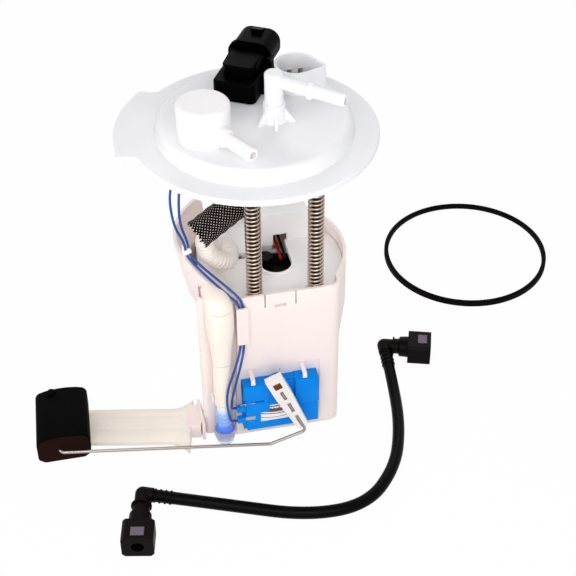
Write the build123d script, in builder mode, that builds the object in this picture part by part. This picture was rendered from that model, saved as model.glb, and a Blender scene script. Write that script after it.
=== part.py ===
"""Fuel pump module: tank flange, sprung reservoir with pump and level sender, ring seal and jumper hose.

The origin is the centre of the flange's seating face, where its locating spigot enters the tank.
+Z is up out of the tank, the level sender faces -Y, and lengths are in millimetres.
"""

import os
from math import cos, hypot, pi, radians, sin, tan

from build123d import *

os.makedirs("parts", exist_ok=True)

# ---------------------------------------------------------------- shared sizes
wall = 2.0  # moulded wall of the reservoir parts
clear = 0.3  # gap between loose neighbours
running = 0.06  # radial running clearance of a shaft in its bush
bore_wall = 1.9  # wall round the fuel passages

# ---------------------------------------------------------------- tank flange
flange_r = 75.0
flange_thick = 4.0
flange_edge_r = 1.0
plateau_r = 60.3  # foot of the raised middle
plateau_draft = 2.3
plateau_rise = 9.0
plateau_wall = 3.0
plateau_edge_r = 4.0
spigot_r = 59.0
spigot_wall = 2.5
spigot_depth = 8.0
ear_r = 85.4
ear_start = 136.0
ear_end = 190.0
ear_corner_r = 4.0
ear_blend_r = 7.0
plateau_z = flange_thick + plateau_rise
under_z = plateau_z - plateau_wall
stiffener_count = 12
stiffener_thick = 1.6
stiffener_reach = 5.0
stiffener_height = 5.0

# Fuel outlet moulded on the flange: a post with gussets and a side nipple
outlet_x = 10.5
outlet_y = -6.5
outlet_turn = -40.8  # direction of the nipple, degrees from +X
outlet_post_r = 5.6
outlet_axis_z = 39.5
outlet_length = 47.2
nipple_r = 3.95
bead_r = 5.4
bead_at = 24.5
bead_width = 2.4
outlet_base_r = 7.4
outlet_base_height = 12.0
gusset_reach = 13.0
gusset_height = 9.5
gusset_thick = 1.8
gusset_turns = (-150.0, -95.0, -20.0, 60.0)
outlet_tail = 6.0  # hose tail under the seating face
tail_r = 4.6

# Electrical socket moulded on the flange
socket_x = 31.5
socket_y = 29.0
socket_r = 13.4
socket_corner_x = 46.6
socket_corner_y = 23.6
socket_corner_r = 2.6
socket_height = 15.0
socket_wall = 1.7
blade_width = 2.8
blade_thick = 0.8
blade_pitch_x = 7.0
blade_pitch_y = 6.0
blade_rise = 10.0
blade_drop = 6.0

# Roll-over valve welded on the flange
valve_x = -33.2
valve_y = -15.3
valve_r = 16.2
valve_taper = 0.5
valve_height = 23.5
valve_wall = 1.8
valve_edge_r = 3.2
valve_axis_z = 21.0
valve_turn = -60.0  # direction of the vapour nipple
vapour_length = 44.0
vapour_r = 4.2
vapour_collar_r = 5.7
vapour_collar = 4.5
valve_float_r = 11.0
valve_float_height = 13.0

# Tank pressure sensor plugged into the flange
sensor_x = -3.3
sensor_y = 28.3
sensor_turn = 60.0  # direction that its connector points
sensor_half = 13.5
sensor_front = -13.5
sensor_back = 14.0
sensor_thick = 12.5
sensor_lift = 0.8
neck_half = 9.5
head_start = 18.0
head_end = 40.0
head_width = 26.0
head_height = 19.0
head_z = 13.5
head_wall = 2.4
head_depth = 16.0
grommet_r = 6.0
grommet_lip = 2.0
sensor_stem_r = 3.2

# ---------------------------------------------------------------- guide rods and springs
rod_left_x = -9.5
rod_right_x = 29.6
rod_y = -36.0
rod_r = 3.0
rod_bore_r = 2.0
rod_boss_r = 7.5
rod_boss_drop = 4.0
rod_seat = 10.0
spring_r = 4.5
spring_wire = 1.2
spring_rings = 18  # each ring stands for two coils

# ---------------------------------------------------------------- reservoir
base_z = -206.5
rim_z = -88.5
shoulder_z = -72.0
barrel_x = 1.5
barrel_r = 55.3
lower_r = 51.5
taper_top_z = -126.0
taper_low_z = -160.0
front_y = -46.0
left_x = -47.0  # left wall where it meets the recess
left_slope = 0.12  # how far that wall leans in per millimetre back
corner_x = 44.5
corner_r = 7.0
corner_depth = 34.0
recess_y = -41.0
recess_top_x = -21.5
recess_low_x = -26.5
shoulder_low_z = -112.0
shoulder_start = 125.0
shoulder_end = 236.0
tab_left_x = -4.8  # snap tab at the middle of the front wall
tab_right_x = 14.8
tab_drop = 10.2
slit_width = 1.0
window_width = 7.5
window_height = 2.6
window_drop = 9.7
bay_left_x = -24.0  # shallow bay that seats the level sender
bay_right_x = 30.5
bay_top_z = -149.0
bay_low_z = -203.0
bay_depth = 0.8
hook_width = 2.6
hook_pitch = 34.0
hook_middle = 1.4
hook_thick = 1.4
duct_hole_y = -32.0
valve_hole_x = 30.0
valve_hole_y = -22.0
valve_hole_r = 1.5

# Deck that carries the pump inside the reservoir
deck_z = -98.0
deck_thick = 2.5
opening_x = 10.5
opening_y = -5.5
opening_r = 10.3
opening_wall = 1.6
opening_lip = 1.5
block_front = 18.0
block_back = 34.0
block_left = 0.0
block_right = 38.0
block_height = 22.0
bush_r = 5.2
bush_flange_r = 6.5
bush_flange = 1.5
bush_length = 12.0
bush_boss_r = 7.4
rod_below = 8.0  # rod past the bush at full extension
clip_r = 5.2
clip_thick = 1.0

# Wires of the level sender
wire_r = 0.95
wire_pitch = 2.2
channel_x = -20.0
channel_top_z = -94.0
channel_low_z = -123.5
channel_wall = 1.3
wire_y = front_y - wire_r - 0.3
guide_x = -48.6  # clip on the shoulder that holds the wires
guide_y = -24.0
guide_z = -63.0
guide_height = 5.0
guide_wall = 1.2
guide_post = 2.2

# Pump
pump_x = 11.0
pump_y = 2.0
pump_r = 19.0
pump_top_z = -108.0
pump_cap_height = 6.0
pump_length = 60.0
pump_foot = 5.0
isolator = 1.5
lead_back_y = 41.0  # where the pump's leads pass the deck
holder_wall = 2.0
holder_low_z = -158.0
stub_x = 6.0  # pump outlet stub
stub_y = 8.0
stub_r = 5.0
pipe_r = 3.0
pipe_bore_r = 2.0
pipe_z = pump_top_z + pipe_r + 0.6

# Filter beside the pump, with the nipple for the fuel hose on top
filter_x = -24.5
filter_y = 6.0
filter_r = 12.0
filter_low_z = -186.0
filter_wall = 1.8
element_r = 9.4
element_pleats = 14
hose_outer_r = 6.0
regulator_x = -14.0
regulator_y = 32.0
regulator_r = 7.5

# Suction duct on the floor
duct_width = 10.0
duct_height = 7.0
duct_wall = 1.2
duct_bend_x = -30.0

# Jet pump on the floor
jet_y = 34.0
jet_r = 4.5
jet_length = 44.0

# Fill tube in the front recess, with the plug at its foot
tube_x = -34.2
tube_r = 6.0
tube_wall = 1.2
tube_y = recess_y - 7.5  # clear of the wall by the plug's collar
tube_top_z = -90.0
tube_low_z = -178.0
plug_r = 4.6
plug_ring_r = 6.2

# ---------------------------------------------------------------- level sender
sender_left = -22.3
sender_right = 28.2
sender_top = -151.0
sender_low = -197.5
sender_back = front_y + bay_depth
sender_plate_y = -50.5  # front of the thin plate
sender_front = -55.0  # front of the raised blocks
card_seat_y = -52.5
pivot_x = 0.2
pivot_z = -154.5
pivot_r = 2.6
hub_r = 5.2
arm_y = -58.0  # back of the arm holder
arm_depth = 4.6
arm_top_width = 11.4
arm_low_width = 7.4
arm_lean = 23.0  # degrees from straight down, towards +X
arm_above = 9.5
arm_below = 41.0
terminal_levels = (-173.5, -186.0)
card_width = 22.0
card_height = 17.0
card_thick = 0.9
card_x = -0.6
card_z = -176.5
contact_width = 5.2
contact_thick = 0.4
wiper_pitch = 3.6
wiper_width = 1.2
wiper_length = 14.0
wiper_at = 19.0
float_wire_r = 1.05
wire_plane_y = -61.3
wire_bend_r = 3.0
float_x = -140.0
float_z = -182.0
float_front = -58.0
float_width = 34.0
float_depth = 46.0
float_height = 22.0
float_hole_x = -142.6
float_hole_z = -181.4

# ---------------------------------------------------------------- strainer
neck_y = -34.5
neck_z = -200.3
neck_width = 20.0
neck_height = 11.0
neck_length = 10.0
sock_turn = 168.5  # direction that the strainer points
sock_length = 82.0
sock_width = 43.0
sock_thick = 9.5

# ---------------------------------------------------------------- seal and jumper hose
seal_section = 3.2
seal_height = 4.5
seal_x = 183.5
seal_y = 107.0
hose_r = 4.0
hose_bore_r = 2.6
hose_lie_z = base_z + hose_r
joint_z = base_z + 8.2  # axis of the end connectors, which rest on the same floor
jumper_bore_r = 4.0
socket_width = 20.0
socket_deep = 16.0
socket_high = 2 * (joint_z - base_z)
button_width = 9.0
button_length = 7.0
button_travel = 1.3


def save(piece, name):
    """Label a finished piece and write it as a STEP file of its own."""
    piece.part.label = name
    export_step(piece.part, f"parts/{name}.step")


def heading(turn):
    """Unit vector in the XY plane at turn degrees from +X."""
    return Vector(cos(radians(turn)), sin(radians(turn)), 0)


def side_plane(origin, turn):
    """Plane through origin whose x runs along turn and whose y is up."""
    return Plane(origin=origin, x_dir=heading(turn), z_dir=heading(turn - 90))


# ================================================================ tank flange
with BuildPart() as flange_plate:
    # Disc with the locating ear on its left
    with BuildSketch() as outline:
        Circle(flange_r)
        with BuildLine():
            ear_arc = CenterArc((0, 0), ear_r, ear_start, ear_end - ear_start)
            Line((0, 0), ear_arc @ 0)
            Line(ear_arc @ 1, (0, 0))
        make_face()
    extrude(amount=flange_thick)
    upright = flange_plate.edges().filter_by(Axis.Z)
    fillet([e for e in upright if hypot(e.center().X, e.center().Y) > ear_r - 0.1], ear_corner_r)
    upright = flange_plate.edges().filter_by(Axis.Z).filter_by(lambda e: e.center().X < 0)
    fillet([e for e in upright if abs(hypot(e.center().X, e.center().Y) - flange_r) < 0.1], ear_blend_r)
    fillet(flange_plate.edges().group_by(Axis.Z)[-1] + flange_plate.edges().group_by(Axis.Z)[0], flange_edge_r)
    # Raised middle and spigot, then the hollow under them
    with BuildSketch(Plane.XZ) as middle:
        with BuildLine():
            Polyline(
                (0, -spigot_depth),
                (spigot_r, -spigot_depth),
                (spigot_r, flange_thick / 2),
                (plateau_r, flange_thick / 2),
                (plateau_r, flange_thick),
                (plateau_r - plateau_draft, plateau_z),
                (0, plateau_z),
                close=True,
            )
        make_face()
        fillet(middle.vertices().group_by(Axis.Y)[-1].sort_by(Axis.X)[-1], plateau_edge_r)
    revolve(axis=Axis.Z)
    with BuildSketch(Plane.XZ) as hollow:
        with BuildLine():
            Polyline(
                (0, -spigot_depth),
                (spigot_r - spigot_wall, -spigot_depth),
                (plateau_r - plateau_draft - plateau_wall, under_z),
                (0, under_z),
                close=True,
            )
        make_face()
    revolve(axis=Axis.Z, mode=Mode.SUBTRACT)
    # Short stiffeners round the underside of the step
    with BuildSketch(Plane.XY.offset(under_z)):
        with PolarLocations(spigot_r - spigot_wall - stiffener_reach / 2 - 1, stiffener_count):
            Rectangle(stiffener_reach, stiffener_thick)
    extrude(amount=-stiffener_height)
    # Bosses that hold the guide rods
    with BuildSketch(Plane.XY.offset(-rod_boss_drop)):
        with Locations((rod_left_x, rod_y), (rod_right_x, rod_y)):
            Circle(rod_boss_r)
    extrude(amount=rod_boss_drop + under_z)
    with BuildSketch(Plane.XY.offset(-rod_boss_drop)):
        with Locations((rod_left_x, rod_y), (rod_right_x, rod_y)):
            Circle(rod_r)
    extrude(amount=rod_seat, mode=Mode.SUBTRACT)
    # Outlet post, its base and gussets
    with BuildSketch(Plane.XY.offset(plateau_z)):
        with Locations((outlet_x, outlet_y)):
            Circle(outlet_base_r)
    extrude(amount=outlet_base_height, taper=4)
    for turn in gusset_turns:
        with BuildSketch(side_plane((outlet_x, outlet_y, plateau_z), turn)):
            with BuildLine():
                Polyline(
                    (0, 0),
                    (gusset_reach, 0),
                    (outlet_post_r, gusset_height),
                    (0, gusset_height),
                    close=True,
                )
            make_face()
        extrude(amount=gusset_thick / 2, both=True)
    with BuildSketch(Plane.XY.offset(plateau_z)):
        with Locations((outlet_x, outlet_y)):
            Circle(outlet_post_r)
    extrude(amount=outlet_axis_z + outlet_post_r - plateau_z)
    fillet(flange_plate.edges().group_by(Axis.Z)[-1], 1.6)
    # Nipple with its bead, turned about its own axis
    with BuildSketch(side_plane((outlet_x, outlet_y, outlet_axis_z), outlet_turn)):
        with BuildLine():
            Polyline(
                (0, 0),
                (0, nipple_r),
                (bead_at - bead_width, nipple_r),
                (bead_at - bead_width / 4, bead_r),
                (bead_at + bead_width / 4, bead_r),
                (bead_at + bead_width, nipple_r),
                (outlet_length - 1.2, nipple_r),
                (outlet_length, nipple_r - 0.6),
                (outlet_length, 0),
                close=True,
            )
        make_face()
    revolve(axis=Axis((outlet_x, outlet_y, outlet_axis_z), heading(outlet_turn)))
    # Hose tail under the seating face
    with BuildSketch(Plane.XY.offset(-outlet_tail)):
        with Locations((outlet_x, outlet_y)):
            Circle(tail_r)
    extrude(amount=outlet_tail + under_z)
    # Fuel passage: up the post and out along the nipple
    with BuildSketch(Plane.XY.offset(-outlet_tail)):
        with Locations((outlet_x, outlet_y)):
            Circle(tail_r - bore_wall)
    extrude(amount=outlet_tail + outlet_axis_z, mode=Mode.SUBTRACT)
    nipple_mouth = Plane(origin=(outlet_x, outlet_y, outlet_axis_z), z_dir=heading(outlet_turn))
    with BuildSketch(nipple_mouth):
        Circle(nipple_r - bore_wall + 0.4)
    extrude(amount=outlet_length, mode=Mode.SUBTRACT)
    # Electrical socket: a round wall drawn out to one corner
    with BuildSketch(Plane.XY.offset(plateau_z)):
        with Locations((socket_x, socket_y)):
            Circle(socket_r)
        with Locations((socket_corner_x, socket_corner_y)):
            Circle(socket_corner_r)
        make_hull()
        offset(amount=-socket_wall, mode=Mode.SUBTRACT)
    extrude(amount=socket_height)
    # Slots for the blades, the grommet's hole and the valve's port
    with BuildSketch(Plane.XY.offset(under_z)):
        with Locations((socket_x, socket_y)):
            with GridLocations(blade_pitch_x, blade_pitch_y, 2, 2):
                Rectangle(blade_width, blade_thick)
        with Locations((sensor_x, sensor_y)):
            Circle(grommet_r - grommet_lip / 2)
        with Locations((valve_x, valve_y)):
            Circle(valve_float_r / 2)
    extrude(amount=plateau_wall, mode=Mode.SUBTRACT)
save(flange_plate, "flange_plate")

# ---------------------------------------------------------------- blades of the electrical socket
with BuildPart() as socket_blades:
    with BuildSketch(Plane.XY.offset(under_z - blade_drop)):
        with Locations((socket_x, socket_y)):
            with GridLocations(blade_pitch_x, blade_pitch_y, 2, 2):
                Rectangle(blade_width, blade_thick)
    extrude(amount=blade_drop + plateau_wall + blade_rise)
    chamfer(socket_blades.edges().group_by(Axis.Z)[-1].filter_by(Axis.X), 0.3)
save(socket_blades, "socket_blades")

# ---------------------------------------------------------------- plug of the inner harness
harness_plug_height = 12.0
harness_plug_width = 17.0
harness_plug_depth = 14.0
with BuildPart() as harness_plug:
    with BuildSketch(Plane.XY.offset(under_z - clear)):
        with Locations((socket_x, socket_y)):
            Rectangle(harness_plug_width, harness_plug_depth)
    extrude(amount=-harness_plug_height)
    with BuildSketch(Plane.XY.offset(under_z - clear)):
        with Locations((socket_x, socket_y)):
            with GridLocations(blade_pitch_x, blade_pitch_y, 2, 2):
                Rectangle(blade_width, blade_thick)
    extrude(amount=clear - blade_drop, mode=Mode.SUBTRACT)
save(harness_plug, "harness_plug")

# ================================================================ roll-over valve
valve_foot_r = valve_r - valve_taper
vapour_root = (valve_x, valve_y, valve_axis_z)
with BuildPart() as rollover_valve:
    with BuildSketch(side_plane((valve_x, valve_y, plateau_z), 0)) as cup:
        with BuildLine():
            Polyline((0, 0), (valve_foot_r, 0), (valve_r, valve_height), (0, valve_height), close=True)
        make_face()
        fillet(cup.vertices().group_by(Axis.Y)[-1].sort_by(Axis.X)[-1], valve_edge_r)
    revolve(axis=Axis((valve_x, valve_y, 0), (0, 0, 1)))
    # Vapour nipple with the stepped collar at its root
    with BuildSketch(side_plane(vapour_root, valve_turn)):
        with BuildLine():
            Polyline(
                (0, 0),
                (0, vapour_collar_r),
                (valve_r + vapour_collar, vapour_collar_r),
                (valve_r + vapour_collar + 0.8, vapour_r),
                (vapour_length - 1, vapour_r),
                (vapour_length, vapour_r - 0.6),
                (vapour_length, 0),
                close=True,
            )
        make_face()
    revolve(axis=Axis(vapour_root, heading(valve_turn)))
    # Float chamber and vapour passage
    with BuildSketch(side_plane((valve_x, valve_y, plateau_z), 0)):
        with BuildLine():
            Polyline(
                (0, 0),
                (valve_foot_r - valve_wall, 0),
                (valve_r - valve_wall, valve_height - valve_wall),
                (0, valve_height - valve_wall),
                close=True,
            )
        make_face()
    revolve(axis=Axis((valve_x, valve_y, 0), (0, 0, 1)), mode=Mode.SUBTRACT)
    with BuildSketch(Plane(origin=vapour_root, z_dir=heading(valve_turn))):
        Circle(vapour_r - bore_wall)
    extrude(amount=vapour_length, mode=Mode.SUBTRACT)
save(rollover_valve, "rollover_valve")

# ---------------------------------------------------------------- float that shuts the valve when tipped
with BuildPart() as rollover_float:
    with BuildSketch(side_plane((valve_x, valve_y, plateau_z), 0)):
        with BuildLine():
            Polyline(
                (0, 0),
                (valve_float_r, 0),
                (valve_float_r, valve_float_height),
                (valve_float_r * 0.4, valve_float_height + 2),
                (1.5, valve_float_height + 2),
                (0, valve_height - valve_wall - clear),
                close=True,
            )
        make_face()
    revolve(axis=Axis((valve_x, valve_y, 0), (0, 0, 1)))
    with BuildSketch(Plane.XY.offset(plateau_z)):
        with Locations((valve_x, valve_y)):
            with PolarLocations(valve_float_r, 6):
                Circle(1.6)
    extrude(amount=valve_float_height, mode=Mode.SUBTRACT)
save(rollover_float, "rollover_float")

# ================================================================ tank pressure sensor
sensor_z = plateau_z + sensor_lift
sensor_top = Plane(origin=(sensor_x, sensor_y, sensor_z), x_dir=heading(sensor_turn), z_dir=(0, 0, 1))
head_centre = Vector(sensor_x, sensor_y, sensor_z + head_z) + heading(sensor_turn) * head_end
head_plane = Plane(origin=head_centre, x_dir=heading(sensor_turn - 90), z_dir=heading(sensor_turn))
with BuildPart() as pressure_sensor:
    # Sensing body, its raised neck and the oval head
    with BuildSketch(sensor_top) as body:
        with Locations(((sensor_front + sensor_back) / 2, 0)):
            RectangleRounded(sensor_back - sensor_front, 2 * sensor_half, 4)
    extrude(amount=sensor_thick)
    fillet(pressure_sensor.edges().group_by(Axis.Z)[-1], 1.5)
    with BuildSketch(sensor_top.offset(sensor_thick - 2)):
        with Locations(((sensor_front + head_start) / 2 + 4, 0)):
            RectangleRounded(head_start - sensor_front - 8, 2 * neck_half, 3)
    extrude(amount=9)
    fillet(pressure_sensor.edges().group_by(Axis.Z)[-1], 1.2)
    with BuildSketch(side_plane((sensor_x, sensor_y, sensor_z), sensor_turn)):
        with BuildLine():
            Polyline(
                (0, 3),
                (head_start + 2, head_z - 5),
                (head_start + 2, head_z + 6),
                (0, sensor_thick + 5),
                close=True,
            )
        make_face()
    extrude(amount=neck_half + 1.5, both=True)
    with BuildSketch(head_plane):
        RectangleRounded(head_width, head_height, 8)
    extrude(amount=head_start - head_end)
    fillet(pressure_sensor.faces().sort_by(Axis(head_centre, heading(sensor_turn)))[-1].edges(), 1)
    # Rim round the head's root, latch ramp on top
    with BuildSketch(head_plane.offset(head_start - head_end)):
        RectangleRounded(head_width + 2, head_height + 2, 8.5)
    extrude(amount=2.2)
    with BuildSketch(side_plane(head_centre, sensor_turn)):
        with BuildLine():
            Polyline(
                (-2, head_height / 2 - 0.5),
                (-2, head_height / 2 + 0.6),
                (-9, head_height / 2 + 3),
                (-9, head_height / 2 - 0.5),
                close=True,
            )
        make_face()
    extrude(amount=3.5, both=True)
    # Snap hooks down the right side
    for hook_at, hook_z in ((3, sensor_thick), (15, sensor_thick + 5)):
        hook_place = Vector(sensor_x, sensor_y, sensor_z) + heading(sensor_turn) * hook_at
        with BuildSketch(Plane(origin=hook_place, x_dir=heading(sensor_turn), z_dir=(0, 0, 1))):
            with Locations((0, -sensor_half - 0.7)):
                Rectangle(6, 3)
        extrude(amount=hook_z)
    # Stem through the grommet, and the connector's cavity
    with BuildSketch(Plane.XY.offset(sensor_z + 1)):
        with Locations((sensor_x, sensor_y)):
            Circle(sensor_stem_r)
    extrude(amount=under_z - sensor_z - 4)
    with BuildSketch(head_plane):
        RectangleRounded(head_width - 2 * head_wall, head_height - 2 * head_wall, 6)
    extrude(amount=-head_depth, mode=Mode.SUBTRACT)
save(pressure_sensor, "pressure_sensor")

# ---------------------------------------------------------------- three pins in the sensor's connector
with BuildPart() as sensor_pins:
    with BuildSketch(head_plane.offset(-head_depth)):
        with GridLocations(5.2, 0, 3, 1):
            Rectangle(1.5, 0.8)
    extrude(amount=head_depth - 4)
save(sensor_pins, "sensor_pins")

# ---------------------------------------------------------------- rubber grommet round the sensor's stem
with BuildPart() as sensor_grommet:
    with BuildSketch(side_plane((sensor_x, sensor_y, 0), 0)):
        with BuildLine():
            Polyline(
                (sensor_stem_r, under_z - grommet_lip),
                (grommet_r, under_z - grommet_lip),
                (grommet_r, under_z),
                (grommet_r - grommet_lip / 2, under_z),
                (grommet_r - grommet_lip / 2, plateau_z),
                (grommet_r, plateau_z),
                (grommet_r, sensor_z),
                (sensor_stem_r, sensor_z),
                close=True,
            )
        make_face()
    revolve(axis=Axis((sensor_x, sensor_y, 0), (0, 0, 1)))
save(sensor_grommet, "sensor_grommet")

# ================================================================ guide rods, end clips and springs
spring_seat_z = deck_z + bush_flange
bush_low_z = deck_z - bush_length
rod_low_z = bush_low_z - rod_below
clip_z = bush_low_z - clip_thick - clear
spring_top_z = -rod_boss_drop
rod_places = ((rod_left_x, rod_y), (rod_right_x, rod_y))

for side, rod_x in (("left", rod_left_x), ("right", rod_right_x)):
    rod_axis = Axis((rod_x, rod_y, 0), (0, 0, 1))
    with BuildPart() as guide_rod:
        with BuildSketch(Plane.XY.offset(rod_low_z)):
            with Locations((rod_x, rod_y)):
                Circle(rod_r)
                Circle(rod_bore_r, mode=Mode.SUBTRACT)
        extrude(amount=rod_seat - rod_boss_drop - rod_low_z)
        # Groove for the end clip
        with BuildSketch(Plane.XY.offset(clip_z)):
            with Locations((rod_x, rod_y)):
                Circle(rod_r)
                Circle(rod_r - 0.5, mode=Mode.SUBTRACT)
        extrude(amount=clip_thick, mode=Mode.SUBTRACT)
        chamfer(guide_rod.edges().group_by(Axis.Z)[0].sort_by(SortBy.LENGTH)[-1], 0.4)
    save(guide_rod, f"guide_rod_{side}")

    ring_pitch = (spring_top_z - spring_seat_z) / spring_rings
    with BuildPart() as spring:
        with BuildSketch(side_plane((rod_x, rod_y, spring_seat_z), 0)):
            with BuildLine():
                teeth = [(spring_r - spring_wire, 0)]
                for ring in range(spring_rings):
                    teeth.append((spring_r - spring_wire / 2, ring_pitch * ring))
                    teeth.append((spring_r, ring_pitch * (ring + 0.5)))
                teeth.append((spring_r - spring_wire / 2, ring_pitch * spring_rings))
                teeth.append((spring_r - spring_wire, ring_pitch * spring_rings))
                Polyline(*teeth, close=True)
            make_face()
        revolve(axis=rod_axis)
    save(spring, f"spring_{side}")

    with BuildPart() as guide_bush:
        with BuildSketch(Plane.XY.offset(bush_low_z)):
            with Locations((rod_x, rod_y)):
                Circle(bush_r)
        extrude(amount=bush_length)
        with BuildSketch(Plane.XY.offset(deck_z)):
            with Locations((rod_x, rod_y)):
                Circle(bush_flange_r)
        extrude(amount=bush_flange)
        with BuildSketch(Plane.XY.offset(bush_low_z)):
            with Locations((rod_x, rod_y)):
                Circle(rod_r + running)
        extrude(amount=bush_length + bush_flange, mode=Mode.SUBTRACT)
    save(guide_bush, f"guide_bush_{side}")

with BuildPart() as rod_end_clips:
    with BuildSketch(Plane.XY.offset(clip_z)):
        with Locations(*rod_places):
            Circle(clip_r)
            Circle(rod_r - 0.5, mode=Mode.SUBTRACT)
            with Locations((0, -clip_r)):
                Rectangle(3.2, clip_r * 1.5, mode=Mode.SUBTRACT)
    extrude(amount=clip_thick)
save(rod_end_clips, "rod_end_clips")


# ================================================================ reservoir cup
barrel_axis = Axis((barrel_x, 0, 0), (0, 0, 1))
cup_height = rim_z - base_z


def left_wall(y, inset):
    """X of the reservoir's left wall, which leans inward towards the back."""
    return left_x + left_slope * (y - recess_y) + inset


def barrel_profile(inset):
    """Half section of the reservoir's round wall, inset by a wall."""
    return [
        (0, base_z + inset),
        (lower_r - inset, base_z + inset),
        (lower_r - inset, taper_low_z),
        (barrel_r - inset, taper_top_z),
        (barrel_r - inset, rim_z),
        (0, rim_z),
    ]


def shoulder_profile(inset):
    """Half section of the flared shoulder on the left of the rim."""
    return [
        (0, shoulder_low_z),
        (barrel_x - left_x - inset, shoulder_low_z),
        (barrel_r - inset, shoulder_z - 4),
        (barrel_r - inset, shoulder_z),
        (0, shoulder_z),
    ]


def cup_plan(inset):
    """Corners of the flat front and left walls, drawn well past the barrel's back and right."""
    far = 2 * barrel_r
    return [
        (left_wall(front_y, inset), front_y + inset),
        (far, front_y + inset),
        (far, far),
        (left_wall(far, inset), far),
    ]


def front_plan(inset):
    """Corners of the squared front of the cup."""
    corner_back = front_y + corner_depth
    return [
        (left_wall(front_y, inset), front_y + inset),
        (corner_x - inset, front_y + inset),
        (corner_x - inset, corner_back),
        (left_wall(corner_back, inset), corner_back),
    ]


# The outside and the hollow are one shape, drawn twice
cup_forms = []
for inset in (0, wall):
    with BuildPart() as form:
        with BuildSketch(side_plane((barrel_x, 0, 0), 0)):
            with BuildLine():
                Polyline(*barrel_profile(inset), close=True)
            make_face()
        revolve(axis=barrel_axis)
        with BuildSketch(Plane.XY.offset(base_z)):
            with BuildLine():
                Polyline(*cup_plan(inset), close=True)
            make_face()
        extrude(amount=cup_height, mode=Mode.INTERSECT)
        with BuildSketch(Plane.XY.offset(base_z + inset)) as front_block:
            with BuildLine():
                Polyline(*front_plan(inset), close=True)
            make_face()
            fillet(front_block.vertices().group_by(Axis.Y)[0].sort_by(Axis.X)[-1], corner_r - inset)
        extrude(amount=cup_height - inset)
        # Recess for the fill tube
        with BuildSketch(Plane.XZ.offset(-recess_y - inset)):
            with BuildLine():
                Polyline(
                    (2 * left_x, base_z - 1),
                    (recess_low_x + inset, base_z - 1),
                    (recess_top_x + inset, rim_z + 1),
                    (2 * left_x, rim_z + 1),
                    close=True,
                )
            make_face()
        extrude(amount=corner_depth, mode=Mode.SUBTRACT)
        corner = (left_wall(recess_y, inset), recess_y + inset, taper_low_z)
        fillet(form.edges().filter_by(Axis.Z).sort_by_distance(corner)[0], 3.5 - inset)
        # Flared shoulder
        with BuildSketch(side_plane((barrel_x, 0, 0), shoulder_start)):
            with BuildLine():
                Polyline(*shoulder_profile(inset), close=True)
            make_face()
        revolve(axis=barrel_axis, revolution_arc=shoulder_end - shoulder_start)
    cup_forms.append(form.part)

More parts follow.
